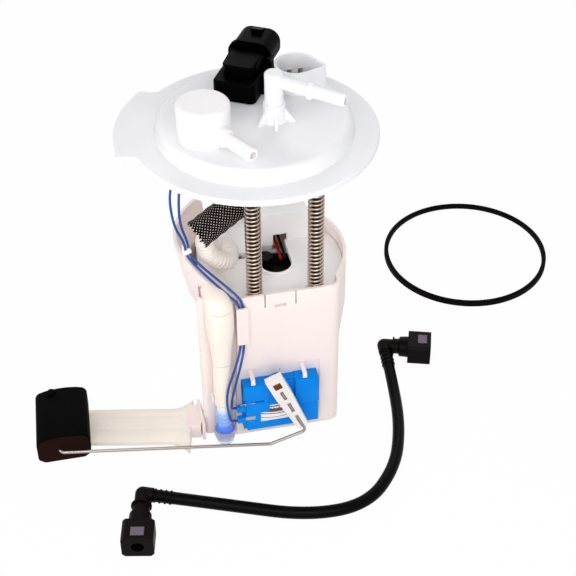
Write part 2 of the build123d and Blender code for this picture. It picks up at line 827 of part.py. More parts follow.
slope_run = Vector(recess_top_x - guide_x, front_y - guide_y, 0)
slope_plane = Plane(
    origin=(guide_x, guide_y, shoulder_z),
    x_dir=slope_run,
    z_dir=slope_run.cross(Vector(0, 0, 1)),
)
guide_out = Vector(guide_x - barrel_x, guide_y, 0).normalized()
guide_plane = Plane(origin=(guide_x, guide_y, 0), x_dir=guide_out, z_dir=(0, 0, 1))
slope_end = slope_run.length
slope_drop = shoulder_z - rim_z
duct_low_z = base_z + wall + clear
with BuildPart() as reservoir_cup:
    add(cup_forms[0])
    add(cup_forms[1], mode=Mode.SUBTRACT)
    # The shoulder's rim slopes down to the front corner, under the wires
    with BuildSketch(slope_plane):
        with BuildLine():
            Polyline(
                (0, 0),
                (slope_end, -slope_drop),
                (2 * slope_end, -slope_drop),
                (2 * slope_end, 1),
                (0, 1),
                close=True,
            )
        make_face()
    extrude(amount=slope_end, both=True, mode=Mode.SUBTRACT)
    # Snap tab between two slits, with the window for the deck's latch
    with BuildSketch(Plane.XZ.offset(-front_y)):
        with Locations((tab_left_x, rim_z - tab_drop / 2), (tab_right_x, rim_z - tab_drop / 2)):
            Rectangle(slit_width, tab_drop)
        with Locations(((tab_left_x + tab_right_x) / 2, rim_z - window_drop)):
            Rectangle(window_width, window_height)
    extrude(amount=-wall, mode=Mode.SUBTRACT)
    # Bay and hooks for the level sender
    with BuildSketch(Plane.XZ.offset(-front_y)):
        with BuildLine():
            Polyline(
                (bay_left_x, bay_low_z),
                (bay_right_x, bay_low_z),
                (bay_right_x, bay_top_z),
                (bay_left_x, bay_top_z),
                close=True,
            )
        make_face()
    extrude(amount=-bay_depth, mode=Mode.SUBTRACT)
    hook_low = sender_top + clear
    hook_face = sender_front - clear
    for hook_x in (hook_middle - hook_pitch / 2, hook_middle + hook_pitch / 2):
        with BuildSketch(Plane.YZ.offset(hook_x)):
            with BuildLine():
                Polyline(
                    (sender_back, hook_low),
                    (hook_face, hook_low),
                    (hook_face, hook_low - 3.4),
                    (hook_face - hook_thick, hook_low - 2.6),
                    (hook_face - hook_thick, hook_low + hook_thick),
                    (sender_back, hook_low + hook_thick),
                    close=True,
                )
            make_face()
        extrude(amount=hook_width / 2, both=True)
    # Covered channel for the sender's wires
    channel_height = channel_top_z - channel_low_z
    channel_half = wire_pitch / 2 + wire_r + 0.3
    with BuildSketch(Plane.XY.offset(channel_low_z)):
        with Locations((channel_x, wire_y)):
            Rectangle(2 * (channel_half + channel_wall), 2 * (wire_r + clear + channel_wall))
            Rectangle(2 * channel_half, 2 * (wire_r + clear), mode=Mode.SUBTRACT)
    extrude(amount=channel_height)
    # Collar round the head of the fill tube and a cradle behind its foot
    for collar_z, collar_height in ((tube_top_z - 8, 7), (tube_low_z + 6, 6)):
        with BuildSketch(Plane.XY.offset(collar_z)):
            with Locations((tube_x, tube_y)):
                Circle(tube_r + clear + 1.8)
                Circle(tube_r + clear, mode=Mode.SUBTRACT)
        extrude(amount=collar_height)
    with BuildSketch(Plane.XY.offset(tube_low_z + 6)):
        with Locations((tube_x, tube_y - tube_r)):
            Rectangle(4 * tube_r, 2 * tube_r)
    extrude(amount=6, mode=Mode.SUBTRACT)
    # Post of the wire clip on the shoulder
    with BuildSketch(guide_plane.offset(shoulder_z - 6)):
        with Locations((-guide_post / 2, -wire_r - guide_wall - guide_post / 2)):
            Rectangle(2 * guide_post, guide_post)
    extrude(amount=guide_z + guide_height / 2 - shoulder_z + 6)
    # Openings for the suction duct and the foot valve
    with BuildSketch(Plane.YZ.offset(left_x)):
        with Locations((duct_hole_y, duct_low_z + duct_height / 2)):
            Rectangle(duct_width + 2 * clear, duct_height + 2 * clear)
    extrude(amount=4 * wall, mode=Mode.SUBTRACT)
    with BuildSketch(Plane.XY.offset(base_z)):
        with Locations((valve_hole_x, valve_hole_y)):
            Circle(valve_hole_r)
            with PolarLocations(valve_hole_r * 2.6, 5):
                Circle(valve_hole_r)
    extrude(amount=wall, mode=Mode.SUBTRACT)
save(reservoir_cup, "reservoir_cup")

# ================================================================ deck that carries the pump
deck_inset = wall + clear
deck_low_z = deck_z - deck_thick
block_width = block_right - block_left
block_depth = block_back - block_front
block_middle = ((block_left + block_right) / 2, (block_front + block_back) / 2)
holder_r = pump_r + isolator


def opening_sketch(margin):
    """D-shaped pump opening, grown by a margin."""
    Circle(opening_r + margin)
    with Locations((0, (block_front - opening_y) / 2)):
        Rectangle(2 * (opening_r + margin), block_front - opening_y)


with BuildPart() as pump_carrier:
    # Plate that follows the cup's inside
    with BuildSketch(Plane.XY.offset(deck_low_z)):
        with Locations((barrel_x, 0)):
            Circle(barrel_r - deck_inset)
        with BuildLine():
            Polyline(*cup_plan(deck_inset), close=True)
        make_face(mode=Mode.INTERSECT)
        with BuildLine():
            Polyline(*front_plan(deck_inset), close=True)
        make_face()
        with Locations((recess_top_x + deck_inset, recess_y + deck_inset)):
            Rectangle(corner_depth, corner_depth, align=(Align.MAX, Align.MAX), mode=Mode.SUBTRACT)
        with Locations((corner_x, front_y)):
            Rectangle(corner_r, corner_r, align=(Align.MAX, Align.MIN), mode=Mode.SUBTRACT)
    extrude(amount=deck_thick)
    deck_corner = (left_wall(recess_y, deck_inset), recess_y + deck_inset, deck_z)
    fillet(pump_carrier.edges().filter_by(Axis.Z).sort_by_distance(deck_corner)[0], 2)
    # Raised block behind the opening and a lip round the opening
    with BuildSketch(Plane.XY.offset(deck_z)) as block:
        with Locations(block_middle):
            Rectangle(block_width, block_depth)
        fillet(block.vertices(), 2)
    extrude(amount=block_height, taper=2)
    fillet(pump_carrier.edges().group_by(Axis.Z)[-1], 1)
    with BuildSketch(Plane.XY.offset(deck_z)):
        with Locations((opening_x, opening_y)):
            opening_sketch(opening_wall)
    extrude(amount=opening_lip)
    # Holder sleeve round the pump and bosses for the guide bushes
    with BuildSketch(Plane.XY.offset(holder_low_z)):
        with Locations((pump_x, pump_y)):
            Circle(holder_r + holder_wall)
            Circle(holder_r, mode=Mode.SUBTRACT)
    extrude(amount=deck_low_z - holder_low_z)
    with BuildSketch(Plane.XY.offset(bush_low_z)):
        with Locations(*rod_places):
            Circle(bush_boss_r)
    extrude(amount=bush_length)
    # Sleeve windows that let fuel round the pump
    with BuildSketch(Plane.XZ.offset(-pump_y)):
        with Locations((pump_x, (holder_low_z + pump_top_z) / 2)):
            Rectangle(16, 26)
    extrude(amount=2 * pump_r, both=True, mode=Mode.SUBTRACT)
    # Opening, hollow of the block, bush bores, hose nipple's hole and the outlet pipe's notch
    with BuildSketch(Plane.XY.offset(deck_low_z)):
        with Locations((opening_x, opening_y)):
            opening_sketch(0)
    extrude(amount=deck_thick + opening_lip, mode=Mode.SUBTRACT)
    with BuildSketch(Plane.XY.offset(deck_low_z)):
        with Locations(block_middle):
            Rectangle(block_width - 2 * wall, block_depth - 2 * wall)
    extrude(amount=deck_thick + block_height - wall, taper=2, mode=Mode.SUBTRACT)
    with BuildSketch(Plane.XY.offset(bush_low_z)):
        with Locations(*rod_places):
            Circle(bush_r)
    extrude(amount=bush_length, mode=Mode.SUBTRACT)
    with BuildSketch(Plane.XY.offset(deck_low_z)):
        with Locations((filter_x, filter_y)):
            Circle(tail_r + clear)
    extrude(amount=deck_thick, mode=Mode.SUBTRACT)
    with BuildSketch(Plane.YZ.offset(filter_x + filter_r)):
        with Locations((stub_y, deck_low_z)):
            Rectangle(2 * (pipe_r + clear), 2 * (deck_low_z - pipe_z + pipe_r + clear))
    extrude(amount=2 * pipe_r + 2, mode=Mode.SUBTRACT)
    with BuildSketch(Plane.XZ.offset(-pump_y - pump_r + 4)):
        with Locations((pump_x + 7, deck_low_z)):
            Rectangle(9, 16)
    extrude(amount=-12, mode=Mode.SUBTRACT)
    with BuildSketch(Plane.XY.offset(deck_low_z)):
        with Locations((pump_x + 7, lead_back_y)):
            Rectangle(7, 4)
    extrude(amount=deck_thick, mode=Mode.SUBTRACT)
    # Latch nose in the snap tab's window
    with BuildSketch(Plane.YZ.offset((tab_left_x + tab_right_x) / 2)):
        with BuildLine():
            Polyline(
                (front_y + deck_inset, deck_z),
                (front_y + 0.5, deck_z),
                (front_y + deck_inset, deck_z - 1.3),
                close=True,
            )
        make_face()
    extrude(amount=window_width / 2 - clear, both=True)
save(pump_carrier, "pump_carrier")

# ================================================================ pump
body_top_z = pump_top_z - pump_cap_height
body_low_z = body_top_z - pump_length
foot_low_z = body_low_z - pump_foot
with BuildPart() as pump_body:
    with BuildSketch(Plane.XY.offset(body_low_z)):
        with Locations((pump_x, pump_y)):
            Circle(pump_r)
    extrude(amount=pump_length)
    chamfer(pump_body.edges().filter_by(GeomType.CIRCLE), 1.2)
save(pump_body, "pump_body")

with BuildPart() as pump_cap:
    with BuildSketch(Plane.XY.offset(body_top_z)):
        with Locations((pump_x, pump_y)):
            Circle(pump_r - 1.4)
    extrude(amount=pump_cap_height)
    chamfer(pump_cap.edges().group_by(Axis.Z)[-1], 1)
    # Outlet stub and terminal block
    with BuildSketch(Plane.XY.offset(pump_top_z)):
        with Locations((stub_x, stub_y)):
            Circle(stub_r)
    extrude(amount=deck_low_z - clear - pump_top_z)
    with BuildSketch(Plane.XY.offset(pump_top_z)):
        with Locations((pump_x + 7, pump_y + 8)):
            Rectangle(9, 6)
    extrude(amount=3)
    with BuildSketch(Plane.YZ.offset(stub_x - stub_r)):
        with Locations((stub_y, pipe_z)):
            Circle(pipe_r)
    extrude(amount=2, mode=Mode.SUBTRACT)
    with BuildSketch(Plane.YZ.offset(stub_x - stub_r)):
        with Locations((stub_y, pipe_z)):
            Circle(pipe_bore_r)
    extrude(amount=stub_r, mode=Mode.SUBTRACT)
save(pump_cap, "pump_cap")

with BuildPart() as pump_inlet:
    with BuildSketch(Plane.XY.offset(foot_low_z)):
        with Locations((pump_x, pump_y)):
            Circle(pump_r - 1.4)
    extrude(amount=pump_foot)
    with BuildSketch(Plane.XY.offset(foot_low_z - 6)):
        with Locations((pump_x, pump_y)):
            Circle(6)
    extrude(amount=6)
    with BuildSketch(Plane.XY.offset(foot_low_z - 6)):
        with Locations((pump_x, pump_y)):
            Circle(4)
    extrude(amount=8, mode=Mode.SUBTRACT)
save(pump_inlet, "pump_inlet")

with BuildPart() as pump_isolator:
    with BuildSketch(Plane.XY.offset(holder_low_z)):
        with Locations((pump_x, pump_y)):
            Circle(holder_r)
            Circle(pump_r, mode=Mode.SUBTRACT)
    extrude(amount=body_top_z - 6 - holder_low_z)
save(pump_isolator, "pump_isolator")

# Red and black leads from the cap, back under the block and up to the deck's rear edge
lead_top_z = pump_top_z + 3 + wire_r
for lead_name, lead_x in (("pump_lead_red", pump_x + 5.5), ("pump_lead_black", pump_x + 8.5)):
    with BuildPart() as pump_lead:
        with BuildLine() as lead_path:
            FilletPolyline(
                (lead_x, pump_y + 5, lead_top_z),
                (lead_x, lead_back_y - 7, lead_top_z),
                (lead_x, lead_back_y, lead_top_z + 2),
                (lead_x, lead_back_y, deck_z),
                radius=2.5,
            )
        with BuildSketch(Plane(origin=lead_path.line @ 0, z_dir=lead_path.line % 0)):
            Circle(wire_r)
        sweep()
    save(pump_lead, lead_name)

with BuildPart() as outlet_pipe:
    pipe_start = filter_x + filter_r + 0.1
    with BuildSketch(Plane.YZ.offset(pipe_start)):
        with Locations((stub_y, pipe_z)):
            Circle(pipe_r)
            Circle(pipe_bore_r, mode=Mode.SUBTRACT)
    extrude(amount=stub_x - stub_r + 2 - pipe_start)
save(outlet_pipe, "outlet_pipe")

# ================================================================ filter and pressure regulator
filter_axis = Axis((filter_x, filter_y, 0), (0, 0, 1))
filter_top_z = deck_low_z - clear
nipple_top_z = deck_z + 8
with BuildPart() as filter_housing:
    with BuildSketch(side_plane((filter_x, filter_y, 0), 0)) as bowl:
        with BuildLine():
            Polyline(
                (0, filter_low_z),
                (filter_r, filter_low_z),
                (filter_r, filter_top_z),
                (tail_r, filter_top_z),
                (tail_r, nipple_top_z),
                (0, nipple_top_z),
                close=True,
            )
        make_face()
        fillet(bowl.vertices().group_by(Axis.Y)[0].sort_by(Axis.X)[-1], 3)
    revolve(axis=filter_axis)
    with BuildSketch(side_plane((filter_x, filter_y, 0), 0)) as bowl_space:
        with BuildLine():
            Polyline(
                (0, filter_low_z + filter_wall),
                (filter_r - filter_wall, filter_low_z + filter_wall),
                (filter_r - filter_wall, filter_top_z - filter_wall),
                (tail_r - bore_wall, filter_top_z - filter_wall),
                (tail_r - bore_wall, nipple_top_z),
                (0, nipple_top_z),
                close=True,
            )
        make_face()
    revolve(axis=filter_axis, mode=Mode.SUBTRACT)
save(filter_housing, "filter_housing")

with BuildPart() as filter_element:
    element_low_z = filter_low_z + filter_wall
    element_height = filter_top_z - 2 * filter_wall - 8 - filter_low_z
    with BuildSketch(Plane.XY.offset(element_low_z)):
        with Locations((filter_x, filter_y)):
            Circle(element_r)
            with PolarLocations(element_r, element_pleats):
                Circle(0.8, mode=Mode.SUBTRACT)
            Circle(element_r / 2, mode=Mode.SUBTRACT)
    extrude(amount=element_height)
save(filter_element, "filter_element")

with BuildPart() as pressure_regulator:
    with BuildSketch(side_plane((regulator_x, regulator_y, 0), 0)):
        with BuildLine():
            Polyline(
                (0, deck_low_z - 24),
                (3, deck_low_z - 24),
                (3, deck_low_z - 18),
                (regulator_r - 1.5, deck_low_z - 18),
                (regulator_r - 1.5, deck_low_z - 9),
                (regulator_r, deck_low_z - 9),
                (regulator_r, deck_low_z - 7),
                (regulator_r - 1.5, deck_low_z - 7),
                (regulator_r - 1.5, deck_low_z),
                (0, deck_low_z),
                close=True,
            )
        make_face()
    revolve(axis=Axis((regulator_x, regulator_y, 0), (0, 0, 1)))
save(pressure_regulator, "pressure_regulator")

# ================================================================ suction duct, jet pump and foot valve
duct_start_x = left_x - 3.5
riser_top_z = foot_low_z - 1
duct_mid_z = duct_low_z + duct_height / 2
with BuildPart() as suction_duct:
    for side_cut, z_cut, mode in ((0, 0, Mode.ADD), (duct_wall, duct_wall, Mode.SUBTRACT)):
        with BuildSketch(Plane.XY.offset(duct_low_z + z_cut)):
            with Locations((duct_bend_x, duct_hole_y), (pump_x, pump_y)):
                Circle(duct_width / 2 - side_cut)
            make_hull()
            with Locations((duct_start_x, duct_hole_y)):
                Rectangle(
                    duct_bend_x - duct_start_x,
                    duct_width - 2 * side_cut,
                    align=(Align.MIN, Align.CENTER),
                )
        extrude(amount=duct_height - 2 * z_cut, mode=mode)
    # Riser to the pump's inlet
    with BuildSketch(Plane.XY.offset(duct_low_z + duct_wall)):
        with Locations((pump_x, pump_y)):
            Circle(6 + clear + duct_wall)
    extrude(amount=riser_top_z - duct_low_z - duct_wall)
    with BuildSketch(Plane.XY.offset(duct_low_z + duct_wall)):
        with Locations((pump_x, pump_y)):
            Circle(6 + clear)
    extrude(amount=riser_top_z - duct_low_z, mode=Mode.SUBTRACT)
save(suction_duct, "suction_duct")

jet_z = base_z + wall + jet_r
with BuildPart() as jet_pump:
    with BuildSketch(Plane.XZ.offset(-jet_y)):
        with BuildLine():
            Polyline(
                (-jet_length / 2, jet_z),
                (-jet_length / 2, jet_z + 3),
                (-jet_length / 2 + 10, jet_z + 3),
                (-jet_length / 2 + 12, jet_z + jet_r),
                (-jet_length / 2 + 20, jet_z + jet_r),
                (-jet_length / 2 + 26, jet_z + 2.8),
                (-jet_length / 2 + 30, jet_z + 2.8),
                (jet_length / 2, jet_z + jet_r),
                (jet_length / 2, jet_z),
                close=True,
            )
        make_face()
    revolve(axis=Axis((0, jet_y, jet_z), (1, 0, 0)))
    with BuildSketch(Plane.YZ.offset(-jet_length / 2)):
        with Locations((jet_y, jet_z)):
            Circle(1.5)
    extrude(amount=jet_length, mode=Mode.SUBTRACT)
    # Two feet on the cup's floor
    with BuildSketch(Plane.XY.offset(base_z + wall)):
        with GridLocations(24, 0, 2, 1):
            with Locations((0, jet_y)):
                Rectangle(3, 2 * jet_r + 2)
    extrude(amount=jet_r - 2)
save(jet_pump, "jet_pump")

with BuildPart() as foot_valve:
    with BuildSketch(side_plane((valve_hole_x, valve_hole_y, base_z + wall), 0)):
        with BuildLine():
            Polyline(
                (0, 1.6),
                (3, 1.4),
                (valve_hole_r * 4.2, 0),
                (valve_hole_r, 0),
                (valve_hole_r, 0.2 - wall),
                (0, 0.2 - wall),
                close=True,
            )
        make_face()
    revolve(axis=Axis((valve_hole_x, valve_hole_y, 0), (0, 0, 1)))
save(foot_valve, "foot_valve")

# ================================================================ fill tube and its plug
tube_axis = Axis((tube_x, tube_y, 0), (0, 0, 1))
with BuildPart() as fill_tube:
    with BuildSketch(Plane.XY.offset(tube_low_z)):
        with Locations((tube_x, tube_y)):
            Circle(tube_r)
            Circle(tube_r - tube_wall, mode=Mode.SUBTRACT)
    extrude(amount=tube_top_z - tube_low_z)
save(fill_tube, "fill_tube")

tube_bore_r = tube_r - tube_wall
plug_low_z = base_z + 3
with BuildPart() as tube_plug:
    with BuildSketch(side_plane((tube_x, tube_y, 0), 0)):
        with BuildLine():
            outline_points = [(0, tube_low_z + 8), (tube_bore_r, tube_low_z + 8), (tube_bore_r, tube_low_z)]
            for rib in range(4):
                rib_z = tube_low_z - 3.6 * rib
                outline_points += [(plug_r, rib_z), (plug_r, rib_z - 2.4)]
                outline_points += [(plug_r + 0.7, rib_z - 2.6), (plug_r + 0.7, rib_z - 3.4)]
            outline_points += [(plug_ring_r, plug_low_z + 9), (plug_ring_r, plug_low_z + 5)]
            outline_points += [(plug_r, plug_low_z), (0, plug_low_z)]
            Polyline(*outline_points, close=True)
        make_face()
    revolve(axis=tube_axis)
save(tube_plug, "tube_plug")

with BuildPart() as plug_collar:
    with BuildSketch(side_plane((tube_x, tube_y, 0), 0)):
        with BuildLine():
            Polyline(
                (plug_r + 0.2, base_z + 0.6),
                (plug_ring_r - 0.4, base_z + 0.6),
                (plug_ring_r + 1.0, plug_low_z + 4),
                (plug_ring_r + 0.8, plug_low_z + 8),
                (plug_ring_r + 0.2, plug_low_z + 8),
                (plug_ring_r + 0.2, plug_low_z + 4.7),
                (plug_r + 0.2, plug_low_z - 0.3),
                close=True,
            )
        make_face()
    revolve(axis=tube_axis)
save(plug_collar, "plug_collar")

# ================================================================ strainer
sock_heading = heading(sock_turn)
tab_x = left_wall(neck_y, 0)
neck_root = Vector(tab_x - 1.5, neck_y, neck_z)
neck_plane = Plane(origin=neck_root, x_dir=heading(sock_turn - 90), z_dir=sock_heading)
with BuildPart() as strainer_neck:
    # Tab against the cup, then the tube that the strainer is welded on
    with BuildSketch(Plane.YZ.offset(tab_x - 2.6)):
        with Locations((neck_y, base_z + 0.6)):
            Rectangle(neck_width + 4, neck_height + 3.4, align=(Align.CENTER, Align.MIN))
    extrude(amount=2)
    with BuildSketch(neck_plane):
        Rectangle(neck_width, neck_height)
    extrude(amount=neck_length)
    with BuildSketch(neck_plane.offset(1)):
        Rectangle(duct_width, duct_height)
    extrude(amount=neck_length, mode=Mode.SUBTRACT)
    with BuildSketch(Plane.YZ.offset(duct_start_x - clear)):
        with Locations((duct_hole_y, duct_mid_z)):
            Rectangle(duct_width + 2 * clear, duct_height + 2 * clear)
    extrude(amount=5, mode=Mode.SUBTRACT)
save(strainer_neck, "strainer_neck")

sock_plane = Plane(origin=neck_root, x_dir=sock_heading, z_dir=(0, 0, 1))
sock_half = sock_width / 2
with BuildPart() as strainer_sock:
    with BuildSketch(sock_plane) as bag:
        with BuildLine():
            Polyline(
                (neck_length, -neck_width / 2 - 1),
                (neck_length + 7, -sock_half),
                (neck_length + sock_length, -sock_half),
                (neck_length + sock_length, sock_half),
                (neck_length + 7, sock_half),
                (neck_length, neck_width / 2 + 1),
                close=True,
            )
        make_face()
        fillet(bag.vertices().sort_by(Axis(neck_root, sock_heading))[-2:], 9)
    extrude(amount=sock_thick / 2, both=True)
    fillet(strainer_sock.edges().group_by(Axis.Z)[-1] + strainer_sock.edges().group_by(Axis.Z)[0], 3)
save(strainer_sock, "strainer_sock")

# ================================================================ level sender
card_left = card_x - card_width / 2
card_low = card_z - card_height / 2
card_right = card_x + card_width / 2
card_top = card_z + card_height / 2
with BuildPart() as sender_housing:
    # Thin plate with a foot strip and terminal ears
    with BuildSketch(Plane.XZ.offset(-sender_back)):
        with BuildLine():
            Polyline(
                (sender_left, sender_top - 2.5),
                (sender_left + 8, sender_top),
                (sender_right - 1.5, sender_top),
                (sender_right, sender_top - 1.5),
                (sender_right, sender_low + 4),
                (card_right, sender_low),
                (card_right - 2, sender_low - 4),
                (sender_left + 2, sender_low - 4),
                (sender_left + 2, sender_low + 4),
                (sender_left, sender_low + 4),
                close=True,
            )
        make_face()
    extrude(amount=sender_back - sender_plate_y)
    # Raised upper left block, and the right block with its latch band
    with BuildSketch(Plane.XZ.offset(-sender_plate_y)):
        with BuildLine():
            Polyline(
                (sender_left, sender_top - 2.5),
                (sender_left + 8, sender_top),
                (sender_right - 1.5, sender_top),
                (sender_right, sender_top - 1.5),
                (sender_right, card_low + 2),
                (card_right + 8, card_low - 4),
                (card_right + 3, card_low - 4),
                (card_right + 3, card_top + 3),
                (card_left, card_top + 3),
                (card_left - 4, card_top - 1),
                (sender_left, card_top - 1),
                close=True,
            )
        make_face()
    extrude(amount=sender_plate_y - sender_front)
    with BuildSketch(Plane.XZ.offset(-sender_front)):
        with BuildLine():
            Polyline(
                (card_right + 5, card_z - 4),
                (sender_right, card_z - 1),
                (sender_right, card_z + 3),
                (card_right + 5, card_z),
                close=True,
            )
        make_face()
    extrude(amount=0.8)
    # Seat for the resistor card and clamps for the terminals
    with BuildSketch(Plane.XZ.offset(-sender_plate_y)):
        with Locations((card_x, card_z)):
            Rectangle(card_width, card_height)
    extrude(amount=sender_plate_y - card_seat_y)
    for terminal_z in terminal_levels:
        with BuildSketch(Plane.XZ.offset(-sender_plate_y)):
            with Locations((sender_left + 4, terminal_z)):
                Rectangle(9, 4.4)
        extrude(amount=2.2)
    # Hub with the bore that the arm turns in
    with BuildSketch(Plane.XZ.offset(-sender_front)):
        with Locations((pivot_x, pivot_z)):
            Circle(hub_r)
    extrude(amount=sender_front - arm_y - clear)
    with BuildSketch(Plane.XZ.offset(-arm_y)):
        with Locations((pivot_x, pivot_z)):
            Circle(pivot_r + running)
    extrude(amount=arm_y - sender_plate_y - 1, mode=Mode.SUBTRACT)
save(sender_housing, "sender_housing")

with BuildPart() as resistor_card:
    with BuildSketch(Plane.XZ.offset(-card_seat_y)):
        with Locations((card_x, card_z)):
            Rectangle(card_width, card_height)
    extrude(amount=card_thick)
save(resistor_card, "resistor_card")

with BuildPart() as sender_terminals:
    terminal_y = sender_plate_y - 2.2
    for terminal_z in terminal_levels:
        with BuildSketch(Plane.XZ.offset(-terminal_y)):
            with Locations((sender_left + 3, terminal_z)):
                Rectangle(10, 2.6)
        extrude(amount=0.5)
save(sender_terminals, "sender_terminals")

arm_plane = Plane(
    origin=(pivot_x, arm_y, pivot_z),
    x_dir=(cos(radians(arm_lean)), 0, sin(radians(arm_lean))),
    z_dir=(0, -1, 0),
)
with BuildPart() as arm_holder:
    with BuildSketch(arm_plane) as arm_outline:
        with BuildLine():
            Polyline(
                (-arm_low_width / 2, -arm_below),
                (arm_low_width / 2, -arm_below),
                (arm_top_width / 2, -8),
                (arm_top_width / 2, arm_above),
                (-arm_top_width / 2, arm_above),
                (-arm_top_width / 2, -8),
                close=True,
            )
        make_face()
        fillet(arm_outline.vertices().group_by(Axis.Y)[0], 1.5)
    extrude(amount=arm_depth)
    # Channel that the wire snaps into, open at the front and foot
    with BuildSketch(arm_plane.offset(arm_y - wire_plane_y - float_wire_r - 0.05)):
        with Locations((0, -arm_below)):
            Rectangle(2 * float_wire_r + 0.1, arm_below - 3, align=(Align.CENTER, Align.MIN))
    extrude(amount=arm_depth, mode=Mode.SUBTRACT)
    # Window for the contact and the pivot pin behind
    with BuildSketch(arm_plane.offset(arm_depth - contact_thick)):
        with Locations((0, 2.6)):
            Rectangle(contact_width, contact_width)
    extrude(amount=contact_thick, mode=Mode.SUBTRACT)
    with BuildSketch(arm_plane):
        Circle(pivot_r)
    extrude(amount=arm_y - sender_plate_y)
save(arm_holder, "arm_holder")

# Bronze contact in the window, and its two wiper springs that reach the card's tracks
wiper_reach = card_seat_y - card_thick - clear - arm_y
with BuildPart() as contact_bridge:
    with BuildSketch(arm_plane.offset(arm_depth - contact_thick)):
        with Locations((0, 2.6)):
            Rectangle(contact_width, contact_width)
    extrude(amount=contact_thick)
    with BuildSketch(arm_plane):
        with GridLocations(wiper_pitch, 0, 2, 1):
            with Locations((0, -wiper_at)):
                Rectangle(wiper_width, wiper_length)
    extrude(amount=-contact_thick)
    with BuildSketch(arm_plane):
        with GridLocations(wiper_pitch, 0, 2, 1):
            with Locations((0, -wiper_at - wiper_length / 2 + wiper_width)):
                Rectangle(wiper_width, 2 * wiper_width)
    extrude(amount=-wiper_reach)
save(contact_bridge, "contact_bridge")

# Wire from the arm's foot to the float, then along the float's hole
wire_start = arm_plane * Pos(0, -4, 0)
wire_knee = arm_plane * Pos(0, -arm_below - 5, 0)
with BuildPart() as float_wire:
    with BuildLine() as wire_path:
        FilletPolyline(
            (wire_start.position.X, wire_plane_y, wire_start.position.Z),
            (wire_knee.position.X, wire_plane_y, wire_knee.position.Z),
            (-6, wire_plane_y, base_z + 1.9),
            (float_hole_x, wire_plane_y, float_hole_z),
            (float_hole_x, float_front + float_depth + 3, float_hole_z),
            radius=wire_bend_r,
        )
    with BuildSketch(Plane(origin=wire_path.line @ 0, z_dir=wire_path.line % 0)):
        Circle(float_wire_r)
    sweep()
save(float_wire, "float_wire")

float_left = float_x - float_width / 2
float_right = float_x + float_width / 2
float_top = float_z + float_height / 2
float_low = float_z - float_height / 2
with BuildPart() as level_float:
    with BuildSketch(Plane.XZ.offset(-float_front)) as block:
        with BuildLine():
            Polyline(
                (float_right, float_top - 4),
                (float_right, float_low + 3),
                (float_right - 4, float_low),
                (float_left + 4, float_low),
                (float_left, float_low + 3),
                (float_left, float_top - 4),
            )
            ThreePointArc((float_left, float_top - 4), (float_x, float_top), (float_right, float_top - 4))
        make_face()
        fillet(block.vertices().sort_by(Axis.Y)[-2:], 2)
    extrude(amount=-float_depth)
    fillet(level_float.edges().group_by(Axis.Y)[0] + level_float.edges().group_by(Axis.Y)[-1], 1)
    with BuildSketch(Plane.XZ.offset(-float_front)):
        with Locations((float_hole_x, float_hole_z)):
            Circle(float_wire_r + 0.1)
    extrude(amount=-float_depth, mode=Mode.SUBTRACT)
save(level_float, "level_float")

with BuildPart() as float_clip:
    with BuildSketch(Plane.XZ.offset(-float_front - float_depth - clear)):
        with Locations((float_hole_x, float_hole_z)):
            Circle(3.4)
            Circle(float_wire_r, mode=Mode.SUBTRACT)
    extrude(amount=-0.6)
save(float_clip, "float_clip")

# ================================================================ wires of the sender
with BuildPart() as wire_clip:
    with BuildSketch(guide_plane.offset(guide_z - guide_height / 2)):
        Rectangle(4 * wire_r + 0.4 + 2 * guide_wall, 2 * (wire_r + guide_wall))
        Rectangle(4 * wire_r + 0.4, 2 * wire_r + 0.2, mode=Mode.SUBTRACT)
    extrude(amount=guide_height)
save(wire_clip, "wire_clip")

for wire_name, offset_at, foot_z in (("outer", -1, terminal_levels[1]), ("inner", 1, terminal_levels[0])):
    shift = offset_at * wire_pitch / 2
    guide_point = Vector(guide_x, guide_y, guide_z) - guide_out * shift
    channel_point = Vector(channel_x + shift, wire_y, channel_top_z)
    # Below the clip: over the sloping rim, down the channel and round to the terminal
    with BuildPart() as sender_wire:
        with BuildLine() as wire_path:
            FilletPolyline(
                guide_point - Vector(0, 0, clear),
                guide_point - Vector(0, 0, guide_height / 2 + 2.5),
                channel_point + Vector(0.5 * shift - 4, 0.8 * shift - 0.6, 0.6 * shift + 9),
                channel_point + Vector(0, 0, 2),
                channel_point - Vector(0, 0, channel_height + 4),
                (channel_x - 5 + 1.5 * shift, tube_y - tube_r, channel_low_z - 15),
                (sender_left - 9 + 2.2 * shift, tube_y - tube_r - wire_r - 0.4, sender_top - 8),
                (sender_left - 6, terminal_y + wire_r * offset_at, foot_z),
                (sender_left - 2.2, terminal_y + wire_r * offset_at, foot_z),
                radius=2.5,
            )
        with BuildSketch(Plane(origin=wire_path.line @ 0, z_dir=wire_path.line % 0)):
            Circle(wire_r)
        sweep()
    save(sender_wire, f"sender_wire_{wire_name}")

# Above the clip: two wires from the harness plug, under the flange and down to the clip
harness_low_z = under_z - clear - harness_plug_height
for wire_name, offset_at in (("outer", -1), ("inner", 1)):
    shift = offset_at * wire_pitch / 2
    guide_point = Vector(guide_x, guide_y, guide_z) - guide_out * shift
    with BuildPart() as harness_wire:
        with BuildLine() as wire_path:
            FilletPolyline(
                (socket_x - 4, socket_y + 3 * offset_at, harness_low_z),
                (socket_x - 4, socket_y + 3 * offset_at, harness_low_z - 7),
                (guide_x + 6, 5 * offset_at, -spigot_depth),
                (-50.5 + 3 * offset_at, -20, -18 - 2 * offset_at),
                (-51.5 + 2 * offset_at, -21, -44),
                guide_point + Vector(0, 0, 6),
                guide_point + Vector(0, 0, 0.4),
                radius=3,
            )
        with BuildSketch(Plane(origin=wire_path.line @ 0, z_dir=wire_path.line % 0)):
            Circle(wire_r)
        sweep()
    save(harness_wire, f"harness_wire_{wire_name}")

